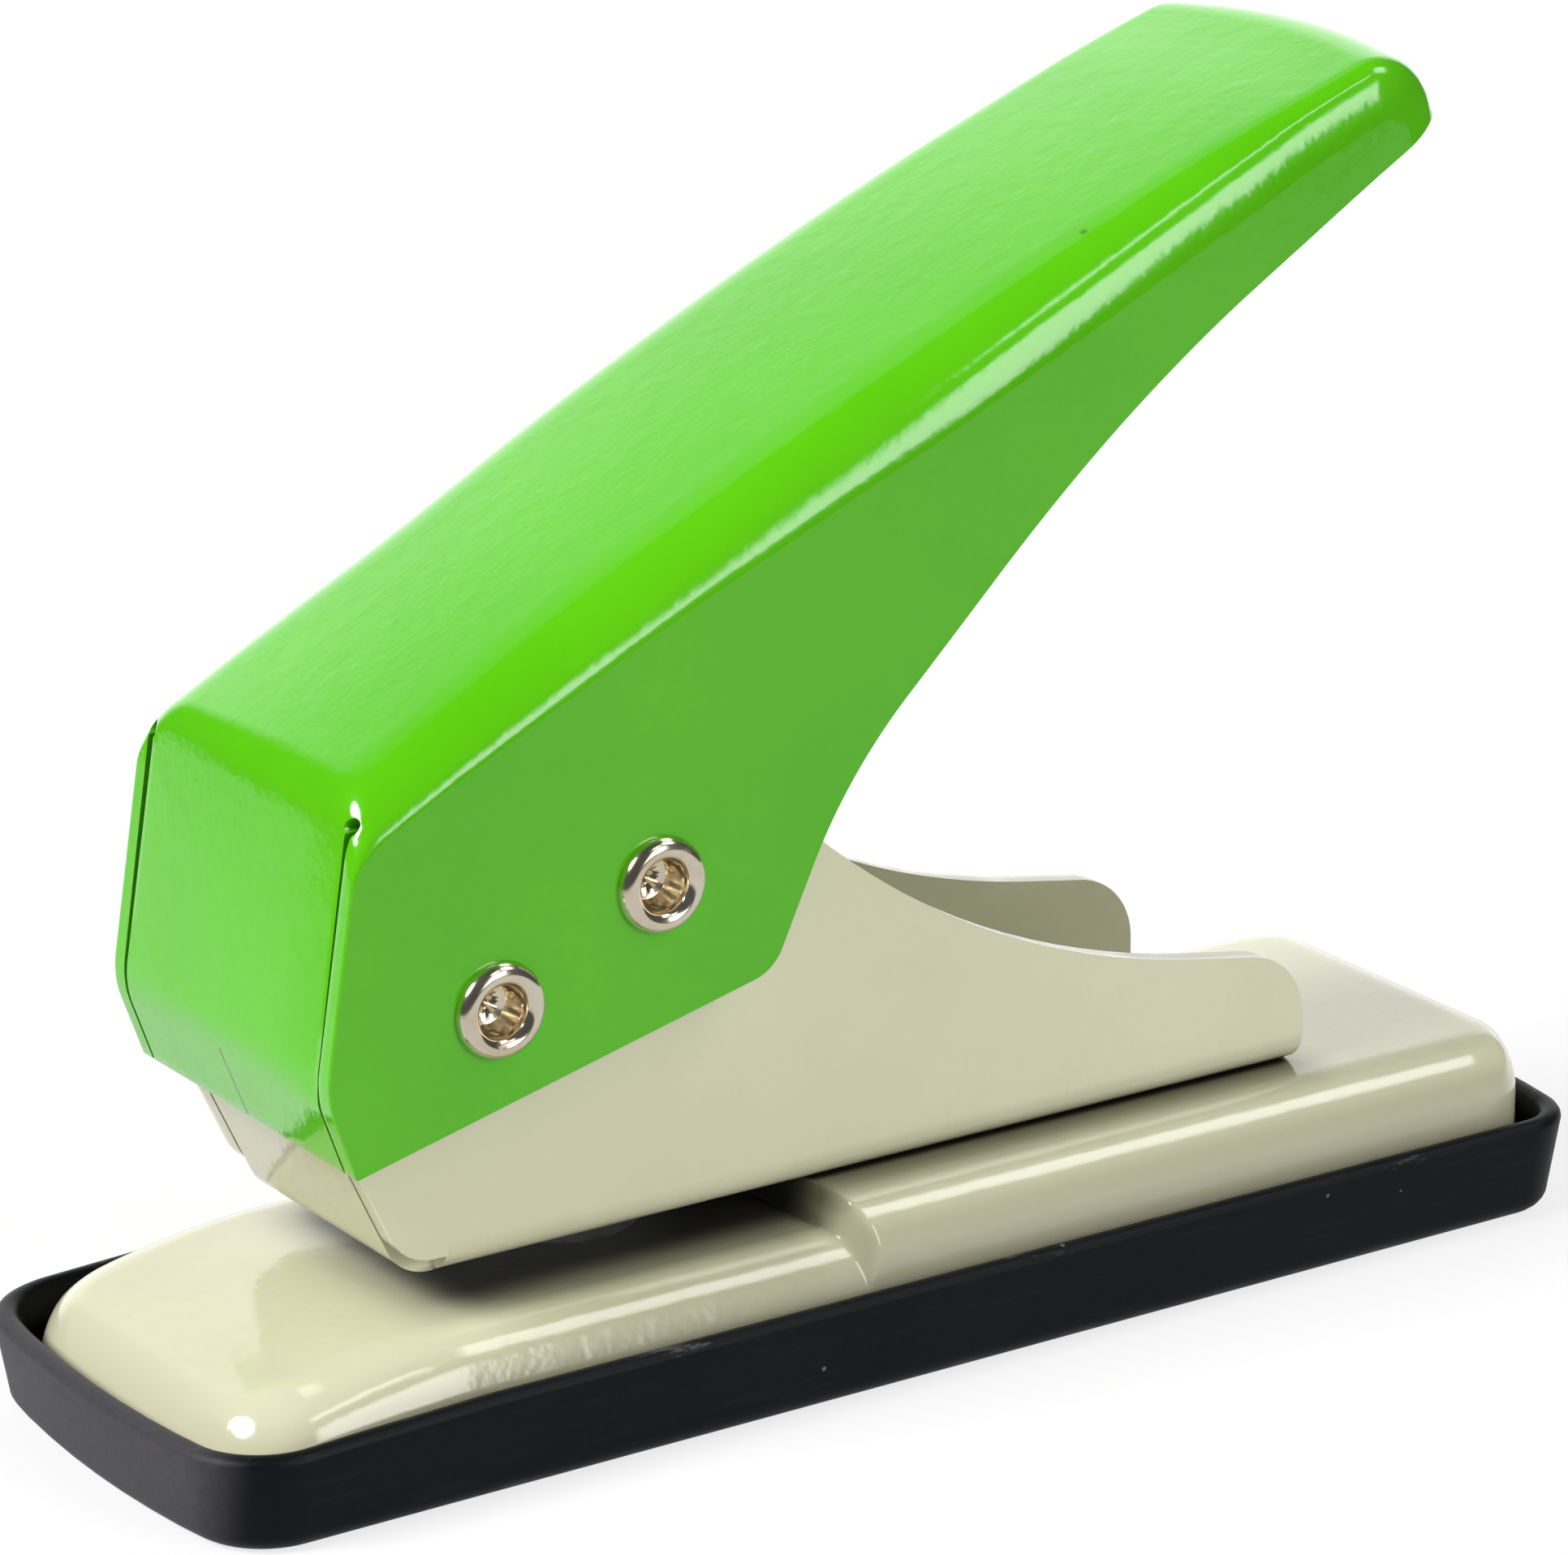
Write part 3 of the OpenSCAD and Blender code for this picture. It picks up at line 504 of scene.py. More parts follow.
def enamel(name, paint, light, deep, worn):
    """Stoved enamel on sheet steel: orange peel, faint clouding, dust specks, fine scratches, rubbed edges,
    one long scratch under the lever's flap, painted shade in darker places, and painted shadow, nearly black,
    in the paper slot and the groove under the frame."""
    f = Finish(name, coat_roughness=0.06, coat_ior=1.5, specular_ior_level=0.5)
    cloud = f.noise(f.place, 38.0, 3.0, 0.55)
    tone = f.mixed(cloud.between(0.3, 0.7), deep, light)
    tone = f.mixed(0.55, tone, paint)
    grain = f.noise(f.place, 2600.0, 2.0, 0.6)
    tone = f.mixed(grain.between(0.35, 0.75) * 0.05, tone, light)
    fine = f.streaks(f.place, (260.0, 900.0, 900.0), (0.0, 0.0, 0.5), 0.715, 0.745)
    cross = f.streaks(f.place, (1100.0, 240.0, 500.0), (0.3, 0.2, -0.35), 0.725, 0.75)
    scratch = fine.most(cross)
    aside = (f.y - SCRATCH_Y) - (f.z - SCRATCH_Z) * SCRATCH_LEAN
    long_scratch = (1 - (aside * aside).between(*SCRATCH_WIDE)) * f.z.band(*SCRATCH_ENDS)
    long_scratch = long_scratch * (1 - f.x.between(*SCRATCH_BACK))
    dust = f.specks(f.place, 210.0, 0.06, 0.1)
    chip = f.edge * f.noise(f.place, 420.0, 4.0, 0.65).between(0.62, 0.72)
    tone = f.mixed(scratch * 0.16, tone, deep)
    tone = f.mixed(dust * 0.55, tone, worn)
    tone = f.mixed((chip * 0.6).most(long_scratch * 0.8), tone, worn)
    # Painted shade: the darker places beside, under and inside the frame and on the base
    for box, share, clouded, tint in PAINTED_SHADE:
        tone = f.mixed(f.box(**box) * (share + cloud * clouded), tone, colour(*tint))
    # Painted shadow: nearly black colour in the paper slot and in the groove under the frame
    painted_shadow = f.box(**SLOT_SHADOW).most(f.box(**GROOVE_SHADOW))
    tone = f.mixed(painted_shadow * (0.92 + cloud * 0.12), tone, colour(30, 29, 23))
    peel = f.noise(f.place, 520.0, 2.0, 0.5) + f.noise(f.place, 1900.0, 1.0, 0.5) * 0.3 + grain * 0.04
    return f.close(
        base_color=tone,
        roughness=0.09 + cloud * 0.06 + chip * 0.3 + dust * 0.3 + painted_shadow * 0.4,
        coat_weight=0.2 * (1 - scratch * 0.4) * (1 - dust * 0.7) * (1 - chip * 0.7) * (1 - painted_shadow * 0.9),
        normal=f.dents(peel - scratch * 0.05 - long_scratch * 0.6 + dust * 0.25, 0.4, 0.00008),
    )


def moulded_plastic(name):
    """Soft black plastic: fine moulded grain, pale scuffs along the rim and foot, a front painted paler grey for
    the light it catches, dust.
    """
    f = Finish(name, specular_ior_level=0.14)
    grain = f.noise(f.place, 3200.0, 3.0, 0.6)
    cloud = f.noise(f.place, 55.0, 3.0, 0.6)
    tone = f.mixed(cloud.between(0.25, 0.75), colour(4, 6, 11), colour(8, 10, 15))
    rub = f.streaks(f.place, (120.0, 120.0, 1500.0), (0.0, 0.0, 0.0), 0.52, 0.72)
    worn_rim = f.noise(f.stretched(f.place, (170.0, 700.0, 900.0)), 1.0, 4.0, 0.7).between(0.6, 0.7)
    worn_foot = f.noise(f.place, 240.0, 4.0, 0.65).between(0.5, 0.66)
    scuff = (f.z.between(6.1, 6.9) * worn_rim).most((1 - f.z.between(0.1, 1.0)) * worn_foot)
    dust = f.specks(f.place, 330.0, 0.07, 0.12)
    # Painted light: the tray's front, which catches the light from the left, is made paler grey
    painted_front_light = (1 - f.x.between(-51.8, -49.0)) * (0.55 + f.noise(f.place, 1400.0, 4.0, 0.7) * 0.6)
    tone = f.mixed(rub * 0.06, tone, colour(70, 70, 76))
    tone = f.mixed(painted_front_light * 0.75, tone, colour(76, 74, 78))
    tone = f.mixed(scuff * 0.4, tone, colour(112, 112, 116))
    tone = f.mixed(dust * 0.4, tone, colour(150, 150, 150))
    height = grain * 0.6 + f.noise(f.place, 900.0, 2.0, 0.5) * 0.4 + dust * 0.6
    return f.close(
        base_color=tone,
        roughness=0.4 + cloud * 0.08 + rub * 0.06 + scuff * 0.1 + painted_front_light * 0.1,
        normal=f.dents(height, 0.4, 0.00006),
    )


def plated_metal(name, bright, dull, smooth, fine):
    """Plated or bare metal: clouded plating, fine turning marks, small stains and rubbed edges."""
    f = Finish(name, ior=1.6)
    cloud = f.noise(f.place, 210.0, 4.0, 0.6)
    marks = f.noise(f.stretched(f.place, (1900.0, 5200.0, 1900.0)), 1.0, 2.0, 0.6)
    stain = f.noise(f.place, 620.0, 4.0, 0.7).between(0.58, 0.74)
    pits = f.specks(f.place, 900.0, 0.14, 0.12)
    tone = f.mixed(cloud.between(0.3, 0.7), dull, bright)
    tone = f.mixed((stain * 0.4).most(pits * 0.6), tone, dull)
    return f.close(
        base_color=tone,
        metallic=1.0 - stain * 0.12 - pits * 0.2,
        roughness=smooth + cloud * 0.1 + stain * 0.16,
        normal=f.dents(marks + cloud * 0.5 - pits * 0.6, fine, 0.00003),
    )


green_enamel = enamel(
    "green_stoved_enamel", colour(84, 182, 7), colour(91, 190, 12), colour(76, 174, 4),
    colour(40, 84, 22),
)
beige_enamel = enamel(
    "beige_stoved_enamel", colour(214, 212, 182), colour(221, 219, 191), colour(207, 204, 173),
    colour(140, 132, 110),
)
black_plastic = moulded_plastic("black_tray_plastic")
nickel = plated_metal("warm_nickel_plate", colour(242, 234, 216), colour(224, 211, 184), 0.1, 0.06)
zinc = plated_metal("zinc_plated_steel", colour(196, 198, 200), colour(150, 152, 156), 0.26, 0.35)
ground_steel = plated_metal("ground_tool_steel", colour(176, 178, 182), colour(120, 122, 126), 0.2, 0.5)
blued_steel = plated_metal("oiled_spring_steel", colour(128, 128, 132), colour(74, 74, 80), 0.25, 0.4)

# The chip tray


def tray_line(inset):
    """The tray seen from above, drawn in by an inset: bowed ends and round corners."""
    front, rear, half_w = TRAY_FRONT_X + inset, TRAY_REAR_X - inset, TRAY_HALF_W - inset
    rear_r, front_r = max(TRAY_REAR_R - inset, 0.8), max(TRAY_FRONT_R - inset, 0.8)
    bows = [s / 10 for s in range(-6, 7, 2)]
    step = (rear - front) / 12
    knots = [((rear - TRAY_BOW, -half_w), rear_r)]
    knots += [((rear - TRAY_BOW * s * s, s * half_w), 0) for s in bows]
    knots += [((rear - TRAY_BOW, half_w), rear_r)]
    knots += [((rear - TRAY_BOW - step * i, half_w), 0) for i in range(1, 11)]
    knots += [((front + TRAY_BOW, half_w), front_r)]
    knots += [((front + TRAY_BOW * s * s, -s * half_w), 0) for s in bows]
    knots += [((front + TRAY_BOW, -half_w), front_r)]
    knots += [((front + TRAY_BOW + step * i, -half_w), 0) for i in range(1, 11)]
    start = ((0.5 * (knots[0][0][0] + knots[-1][0][0]), -half_w), 0)
    return filleted([start] + knots + [start], 12)[:-1]


def make_tray():
    rim = TRAY_RIM_R
    side = TRAY_H - rim - TRAY_FOOT_R
    levels = []
    for i in range(7):
        a = math.radians(90 * i / 6)
        levels.append((TRAY_DRAFT + TRAY_FOOT_R * (1 - math.sin(a)), TRAY_FOOT_R * (1 - math.cos(a))))
    levels += [(TRAY_DRAFT * (1 - s), TRAY_FOOT_R + side * s) for s in (0.33, 0.66, 1.0)]
    for i in range(1, 9):
        a = math.radians(180 * i / 8)
        levels.append((rim * (1 - math.cos(a)), TRAY_H - rim + rim * math.sin(a)))
    levels += [(TRAY_WALL, TRAY_H - rim - 0.6), (TRAY_WALL, TRAY_FLOOR + 0.6)]
    levels += [(TRAY_WALL + 0.2, TRAY_FLOOR + 0.18), (TRAY_WALL + 0.6, TRAY_FLOOR)]
    rings = []
    for inset, z in levels:
        line = tray_line(inset)
        rings.append([(x, y, z * (1 - TRAY_DIP * ease((DIP_X - x) / DIP_L))) for x, y in line])
    return soften(loft("tray_dish", rings, (0, 0, 0.8)), 0)


# The base

die_places = [(PUNCH_X + s * DIE_RIVET_X, 0, BASE_FRONT_Z) for s in (-1, 1)]


def base_top(x, y):
    ahead = max(FRONT_CURVE - (x - BASE_FRONT_X), 0) / FRONT_CURVE
    back = STEP_BOW * (abs(y) / BASE_HALF_W) ** 5
    return BASE_FRONT_Z - FRONT_DROP * ahead * ahead + STEP_H * ease((x - STEP_X - back) / STEP_L + 0.5)


def base_section(x, wall):
    depth = min(x - BASE_FRONT_X, BASE_REAR_X - x) - wall
    edge = BASE_EDGE + EDGE_MORE * ease((EDGE_X - x) / EDGE_L) - wall
    w = BASE_HALF_W - wall - round_off(depth, BASE_CORNER - wall)
    low = BASE_Z - (1.0 if wall else 0.0)

    def top(y):
        return base_top(x, y) - wall - round_off(depth, BASE_EDGE - wall)

    lip = min(edge, top(w) - low - 0.2)
    half = [(w, low), (w, (low + top(w) - lip) / 2)]
    for i in range(17):
        c, s = turn(90 * i / 16)
        y = w - edge + edge * c
        half.append((y, top(y) - lip + lip * s))
    flat = [((w - edge) * s / 8, top((w - edge) * s / 8)) for s in range(7, -8, -1)]
    whole = half + flat + [(-y, z) for y, z in reversed(half)]
    return [(x, y, z) for y, z in whole]


def base_body(wall):
    corner = BASE_CORNER - wall
    bends = [corner * (1 - math.sin(math.radians(90 * i / 16))) for i in range(17)]
    stations = [BASE_FRONT_X + wall + b for b in bends] + [BASE_REAR_X - wall - b for b in bends]
    stations += [BASE_FRONT_X + BASE_CORNER + (FRONT_CURVE - BASE_CORNER) * i / 10 for i in range(1, 11)]
    stations += [STEP_X - 0.6 + 2.8 * i / 48 for i in range(49)]
    stations += [STEP_X + 5 + 8 * i for i in range(6)]
    return loft("base_shell", [base_section(x, wall) for x in sorted(stations)], (0, 0, 4))


def flush_hole(up):
    """A rivet's hole with a cone for its head, level with the face it is drilled from."""
    head, shank = RIVET_HEAD_R + FIT, RIVET_R + FIT
    return [(0, -6 * up), (shank, -6 * up), (shank, -RIVET_HEAD_H * up), (head, 0), (head, up), (0, up)]


def make_base():
    piece = base_body(0.0)
    carve(piece, base_body(BASE_T))
    cuts = [(flush_hole(1), at, (0, 0, 1)) for at in die_places]
    cuts += [(bore(RIVET_R + FIT, 6), (x, 0, FRAME_Z), (0, 0, 1)) for x in FRAME_RIVETS_X]
    cuts.append((bore(DIE_HOLE_R, 4), (PUNCH_X, 0, BASE_FRONT_Z), (0, 0, 1)))
    drill(piece, cuts)
    return soften(piece, 0.12)


# The frame

FRONT_TOP = np.array((PIVOT[0] - FRONT_AHEAD, FRONT_TOP_Z))
FRONT_UP = turn(180 - FRONT_LEAN)
FRONT_FOOT = meet(FRONT_TOP, FRONT_UP, np.array((0.0, FRAME_Z)), np.array((1.0, 0.0)))
RELIEF_X = FRONT_FOOT[0] + FRONT_BEND * math.tan(math.radians(FRONT_LEAN / 2)) + 0.3
guide_places = [(PUNCH_X + s * GUIDE_RIVET_X, t * GUIDE_RIVET_Y, FRAME_Z) for s in (-1, 1) for t in (-1, 1)]


def make_frame():
    boss = PIN_HEAD_R + BOSS_MORE
    crest = np.array((DRIVE[0] + CREST_BACK, DRIVE[1] + PIN_R + BOSS_MORE))
    bend_z = FRAME_Z + FRAME_BEND
    runs = list(np.linspace(RELIEF_X, FRAME_REAR_X, 40))
    section = [(FRAME_HALF_W - FRAME_BEND + FRAME_BEND * math.cos(a), bend_z - FRAME_BEND * math.sin(a))
               for a in (math.radians(90 * i / 10) for i in range(11))]
    half_floor = FRAME_HALF_W - FRAME_BEND
    floor = [(half_floor * s / 6, FRAME_Z) for s in range(5, -6, -1)]
    section = section + floor + [(-y, z) for y, z in reversed(section)]
    sheet = Sheet()
    sheet.grid([[(x, y, z) for y, z in section] for x in runs])
    foot = meet(FRONT_TOP, FRONT_UP, np.array((0.0, CHEEK_Z)), np.array((1.0, 0.0)))
    outline = filleted([
        ((FRAME_REAR_X, bend_z), 0), ((FRAME_REAR_X, FRAME_Z + REAR_H), REAR_R),
        ((PIVOT[0] + SAG_BACK, FRAME_Z + SAG_H), SAG_R), (crest, CREST_R),
        ((DRIVE[0] - CREST_AHEAD, crest[1]), CREST_FRONT_R),
        ((PIVOT[0] + BOSS_MORE, PIVOT[1] + boss), BOSS_MORE), ((PIVOT[0] - boss, PIVOT[1] + boss), boss - 0.03),
        ((PIVOT[0] - boss, FRONT_TOP[1] + BOSS_MORE), BOSS_MORE), (FRONT_TOP, 0.8), (foot, FRONT_BEND),
        ((RELIEF_X, CHEEK_Z), 0),
    ], 16)
    for side in (-1, 1):
        loop = [(x, side * FRAME_HALF_W, bend_z) for x in runs]
        loop += [(p[0], side * FRAME_HALF_W, p[1]) for p in outline[1:]]
        sheet.face(loop)
    rise = filleted([((RELIEF_X, FRAME_Z), 0), (FRONT_FOOT, FRONT_BEND), (FRONT_TOP, 0)], 12)
    widths = [FRONT_HALF_W] + [half_floor] + [y for y, _ in floor] + [-half_floor] + [-FRONT_HALF_W]
    sheet.grid([[(p[0], y, p[1]) for y in widths] for p in rise])
    piece = thicken(sheet.piece("frame_channel", (-5, 0, 22)), FRAME_T)
    half = PIN_R + RUN
    cuts = [(bore(half, 30), (PIVOT[0], 0, PIVOT[1]), (0, 1, 0))]
    cuts += [(bore(PUNCH_HOLE_R, 8), (PUNCH_X, 0, FRAME_Z), (0, 0, 1))]
    cuts += [(bore(RIVET_R + FIT, 6), (x, 0, FRAME_Z), (0, 0, 1)) for x in FRAME_RIVETS_X]
    cuts += [(flush_hole(-1), at, (0, 0, 1)) for at in guide_places]
    drill(piece, cuts)
    start = math.degrees(math.atan2(*(DRIVE - PIVOT)[::-1]))
    lap = arc(PIVOT, ARM_R + half, start, -SWING, 10) + arc(DRIVE_END, half, start - SWING, -180, 10)[1:-1]
    lap += arc(PIVOT, ARM_R - half, start - SWING, SWING, 10) + arc(DRIVE, half, start - 180, -180, 10)[1:-1]
    carve(piece, loft("slot", [[(p[0], y, p[1]) for p in lap] for y in (-15, 15)], (0, 0, -500)))
    return soften(piece, 0.16)


# The lever

DOWN, BACK = unit(FLAP_BEND - FLAP_TOP), unit(CHIN_END - FLAP_BEND)
CROWN_C = FLAP_TOP - CROWN_R * turn(90 + LEVER_SLOPE)
ALONG = turn(LEVER_SLOPE)
TIP_S = LEVER_L - TIP_R


def slope_at(s):
    return LEVER_SLOPE - math.degrees(s / CROWN_R)


def crown(slope, inset):
    return CROWN_C + (CROWN_R - inset) * turn(90 + slope)


def lever_column(mark, s, wall):
    """How far a column lies from the middle and under the crown: its mark is a share of the flat top or an
    angle in the side bend."""
    kind, value, side = mark
    half, (rest, full) = LEVER_HALF_W - wall, turn(BEND_TURN)
    corner = through(SIDE_CORNER, s)
    roll = (through(SIDE_BEND, s) - corner * rest) / (1 - rest) - wall
    corner = max(corner - wall, 0.25)
    low, high = turn(value) if kind == "bend" else (1.0, 0.0)
    if kind == "flat":
        y, fall = value * (half - corner * (1 - full) - roll * full), 0.0
    elif value <= BEND_TURN:
        y, fall = half - corner * (1 - full) - roll * (full - high), roll * (1 - low)
    else:
        y, fall = half - corner * (1 - high), roll * (1 - rest) + corner * (rest - low)
    return side * y, fall + wall - through(TOP_LIFT, s) + CAMBER * (1 - 0.5 * s / TIP_S) * (y / half) ** 2


def lever_ring(mark, wall):
    """One closed line round the lever's filled form, at one column of its cross section."""
    y, inset = lever_column(mark, 0.0, wall)
    half = LEVER_HALF_W - wall
    edge_r = max(FLAP_EDGE_R - wall, 0.15)
    fall = round_off(half - abs(y), edge_r) + wall
    roll = FLAP_ROLL * min(max(1 - (y + SLIT_INNER) / ROLL_L, 0), 1) ** 2
    front, low = FLAP_TOP + left(DOWN) * fall, FLAP_BEND + left(BACK) * fall
    head = meet(front, DOWN, crown(LEVER_SLOPE, inset), ALONG)
    chin = meet(front, DOWN, low, BACK)
    brow = max(BROW_R * (1 - 0.3 * y / half) - wall, 0.6)
    chin_end = low + BACK * (CHIN_L + SPARE_L + wall)
    fold = filleted([(head + 9 * ALONG, 0), (head, brow), (chin, CHIN_R - wall), (chin_end, 0)], 10)[1:]
    top, foot = fold[10], fold[11]
    straight = [top + (foot - top) * i / 16 for i in range(1, 16)]
    last = [fold[-2] + (fold[-1] - fold[-2]) * i / 6 for i in range(1, 7)]
    fold = fold[:11] + straight + fold[11:-1] + last
    on_flap = abs(y) < SLIT_INNER + 0.2
    bow = FLAP_BOW * (1 - (y / SLIT_INNER) ** 2) - roll
    ring = []
    for k, p in enumerate(fold):
        if on_flap:
            along = math.sin(math.pi * min(max((k - 5) / (len(fold) - 14), 0), 1))
            p = p - left(DOWN) * bow * min(2 * along, 1.0)
        ring.append((p[0], y, p[1]))
    ring.reverse()
    reach = float((fold[0] - crown(LEVER_SLOPE, inset)) @ ALONG)
    tip_y, _ = lever_column(mark, TIP_S, wall)
    tip_s = TIP_S - TIP_BOW * (tip_y / half) ** 2
    for i in range(1, 61):
        s = reach + (tip_s - reach) * i / 60
        across_y, drop_z = lever_column(mark, max(s, 0.0), wall)
        p = crown(slope_at(s), drop_z)
        ring.append((p[0], across_y, p[1]))
    slope = slope_at(tip_s)
    tip_centre = crown(slope, TIP_R)
    tip_y, tip_fall = lever_column(mark, tip_s, wall)
    for p in arc(tip_centre, TIP_R - tip_fall, 90 + slope, -90, 16)[1:]:
        ring.append((p[0], tip_y, p[1]))
    end = tip_centre + (TIP_R - tip_fall) * turn(slope) + 5 * turn(slope - 90)
    ring.append((end[0], tip_y, end[1] - wall))
    ring.append((SKIRT_END[0] + 2 * SPARE_L, y, SKIRT_END[1] - SPARE_H - wall))
    return ring


def bow_walls(piece):
    """Cuts the side walls into narrow strips and bows them outwards along the lever."""
    work = bmesh.new()
    work.from_mesh(piece.data)
    way, start = Vector((ALONG[0], 0, ALONG[1])), Vector((FLAP_TOP[0], 0, FLAP_TOP[1]))
    first, strip = 16.3, 2.5
    for i in range(28):
        walls = [f for f in work.faces if abs(f.normal.y) > 0.999 and f.calc_area() > 4 * MM ** 2]
        nearby = {e for f in walls for e in f.edges} | {v for f in walls for v in f.verts}
        cut_at = MM * (start + way * (first + strip * i))
        bmesh.ops.bisect_plane(work, geom=walls + list(nearby), dist=0.001 * MM, plane_co=cut_at, plane_no=way)
    for v in work.verts:
        v.co.y *= 1 + through(WALL_BULGE, (v.co / MM - start).dot(way)) / LEVER_HALF_W
    work.to_mesh(piece.data)
    work.free()


def make_lever():
    marks = [("bend", a, -1) for a in reversed(BEND_STEPS)]
    marks += [("flat", abs(s) / 16, -1 if s < 0 else 1) for s in range(-16, 17)]
    marks += [("bend", a, 1) for a in BEND_STEPS]
    piece = loft("lever_shell", [lever_ring(m, 0.0) for m in marks], (-20, 0, 40))
    carve(piece, loft("hollow", [lever_ring(m, LEVER_T) for m in marks], (-20, 0, 40)))
    cut = filleted([
        (CHIN_END - 40 * turn(SKIRT_SLOPE), 0), (SKIRT_END, SKIRT_R), (NECK, NECK_R), (WAIST, WAIST_R),
        (WAIST + 70 * turn(UNDER_SLOPE), 0),
    ], 30)
    cut += [np.array((cut[-1][0], -20.0)), np.array((cut[0][0], -20.0))]
    carve(piece, loft("under", [[(p[0], y, p[1]) for p in cut] for y in (-20, 20)], (0, 0, -500)))
    slit_top, slit_end = FLAP_TOP + DOWN * SLIT_DROP, FLAP_BEND + BACK * 8
    slits = [s * (SLIT_INNER + SLIT_OUTER) / 2 for s in (-1, 1)]
    out, deep = 1.5, LEVER_T + 0.5
    line = [
        slit_top - left(DOWN) * out, slit_top + left(DOWN) * deep, FLAP_BEND + left(DOWN) * deep,
        slit_end + left(BACK) * deep, slit_end - left(BACK) * out, FLAP_BEND - left(DOWN) * out,
    ]
    half_wide = (0.32, 0.32, 0.16, 0.12, 0.12, 0.16)
    for middle in slits:
        rows = [[(p[0], middle + e * w, p[1]) for p, w in zip(line, half_wide)] for e in (-1, 1)]
        carve(piece, loft("slit", rows, (0, 0, -500)))
    cuts = [(bore(0.52, 5), (slit_top[0], y, slit_top[1]), (1, 0, 0)) for y in slits]
    cuts += [(bore(PIN_R + FIT, 40), (at[0], 0, at[1]), (0, 1, 0)) for at in (PIVOT, DRIVE)]
    drill(piece, cuts)
    bow_walls(piece)
    return soften(piece, 0.17)


# Pins, rivets, washers and the spring


def dome(radius, height, steps=8):
    """A dome's profile from its crest to its rim, as pairs of radius and fall."""
    ball = (radius ** 2 + height ** 2) / (2 * height)
    wide = math.asin(radius / ball)
    return [(ball * math.sin(wide * i / steps), ball * (1 - math.cos(wide * i / steps))) for i in range(steps + 1)]


def make_pin(name, at):
    """A pin with a domed far head and a rolled, hollow near end with a star at its bottom."""
    far = [(r, fall - LEVER_HALF_W - PIN_HEAD_H) for r, fall in dome(PIN_HEAD_R, PIN_HEAD_H)]
    shank = [(PIN_R, -LEVER_HALF_W), (PIN_R, LEVER_HALF_W)]
    mid, half = (PIN_HEAD_R + HOLLOW_R) / 2, (PIN_HEAD_R - HOLLOW_R) / 2
    bends = [turn(a) for a in range(0, 180, 12)]
    roll = [(mid + half * c, LEVER_HALF_W + PIN_HEAD_H * s) for c, s in bends]
    deep = LEVER_HALF_W + PIN_HEAD_H - HOLLOW_DEEP
    hollow = [(HOLLOW_R, LEVER_HALF_W), (HOLLOW_R - 0.05, deep + 0.5), (HOLLOW_R - 0.2, deep)]
    star = [(0.95, deep - 0.1), (0.5, deep - 0.45), (0.0, deep - 0.95)]
    steps = 60
    sheet = turned(far + shank + roll + hollow + star, steps, (at[0], 0, at[1]), (0, -1, 0))
    first = len(far + shank + roll + hollow + star[:1]) * steps
    for i in range(steps):
        x, y, z = sheet.points[first + i]
        wave = abs(2 * STAR_ARMS * i / steps % 2 - 1) * 2 - 1
        sheet.points[first + i] = (x, y - STAR_RISE * wave, z)
    return soften(sheet.piece(name, (at[0], 0, at[1])), 0, smooth=28)


def make_template(name, profile):
    piece = turned(profile, 40, (0, 0, 0), (0, 0, 1)).piece(name, (0, 0, 0))
    return soften(piece, 0, smooth=35)


def clench(stack):
    """The shank of a rivet and its end, clenched under a stack of sheets."""
    end = -stack - RIVET_HEAD_H
    rim = [(RIVET_HEAD_R - 0.1, -stack), (RIVET_HEAD_R, -stack - 0.15), (RIVET_HEAD_R - 0.25, end)]
    return [(RIVET_R, -stack)] + rim + [(0, end)]


def flush_rivet(stack):
    """Head level with the face above, clench under the stack."""
    head = [(0, 0), (RIVET_HEAD_R - 0.12, 0), (RIVET_HEAD_R, -0.06), (RIVET_R, -RIVET_HEAD_H)]
    return head + clench(stack)


def domed_rivet(stack):
    head = [(r, RIVET_HEAD_H - fall) for r, fall in dome(RIVET_HEAD_R, RIVET_HEAD_H)]
    return head + [(RIVET_R, 0)] + clench(stack)


def node_tree(name, inputs):
    tree = bpy.data.node_groups.new(name, "GeometryNodeTree")
    for label, kind in inputs:
        tree.interface.new_socket(label, in_out="INPUT", socket_type=kind)
    tree.interface.new_socket("Geometry", in_out="OUTPUT", socket_type="NodeSocketGeometry")
    return tree


def run_tree(tree, piece, values):
    """The piece with a node tree's result as its plain mesh."""
    work = piece.modifiers.new(tree.name, "NODES")
    work.node_group = tree
    for item in tree.interface.items_tree:
        if item.item_type == "SOCKET" and item.in_out == "INPUT" and item.name in values:
            work[item.identifier] = values[item.name]
    return settle(piece)


def set_pieces_tree():
    """Sets one template at every point of a mesh, turned and scaled by named inputs."""
    tree = node_tree("set_at_places", [
        ("Places", "NodeSocketGeometry"), ("Template", "NodeSocketObject"), ("Turn", "NodeSocketVector"),
        ("Size", "NodeSocketFloat"), ("Finish", "NodeSocketMaterial"),
    ])
    b = Board(tree)
    given = b.node("NodeGroupInput").socket.node.outputs
    shape = b.node("GeometryNodeObjectInfo", {}, {"Object": Wire(b, given["Template"])}, out="Geometry")
    angle = b.node("FunctionNodeEulerToRotation", {}, {0: Wire(b, given["Turn"])})
    set_down = b.node("GeometryNodeInstanceOnPoints", {}, {
        "Points": Wire(b, given["Places"]), "Instance": shape, "Rotation": angle,
        "Scale": Wire(b, given["Size"]),
    })
    solid = b.node("GeometryNodeRealizeInstances", {}, {0: set_down})
    dressed = b.node("GeometryNodeSetMaterial", {}, {"Geometry": solid, "Material": Wire(b, given["Finish"])})
    b.node("NodeGroupOutput", {}, {0: dressed})
    return tree


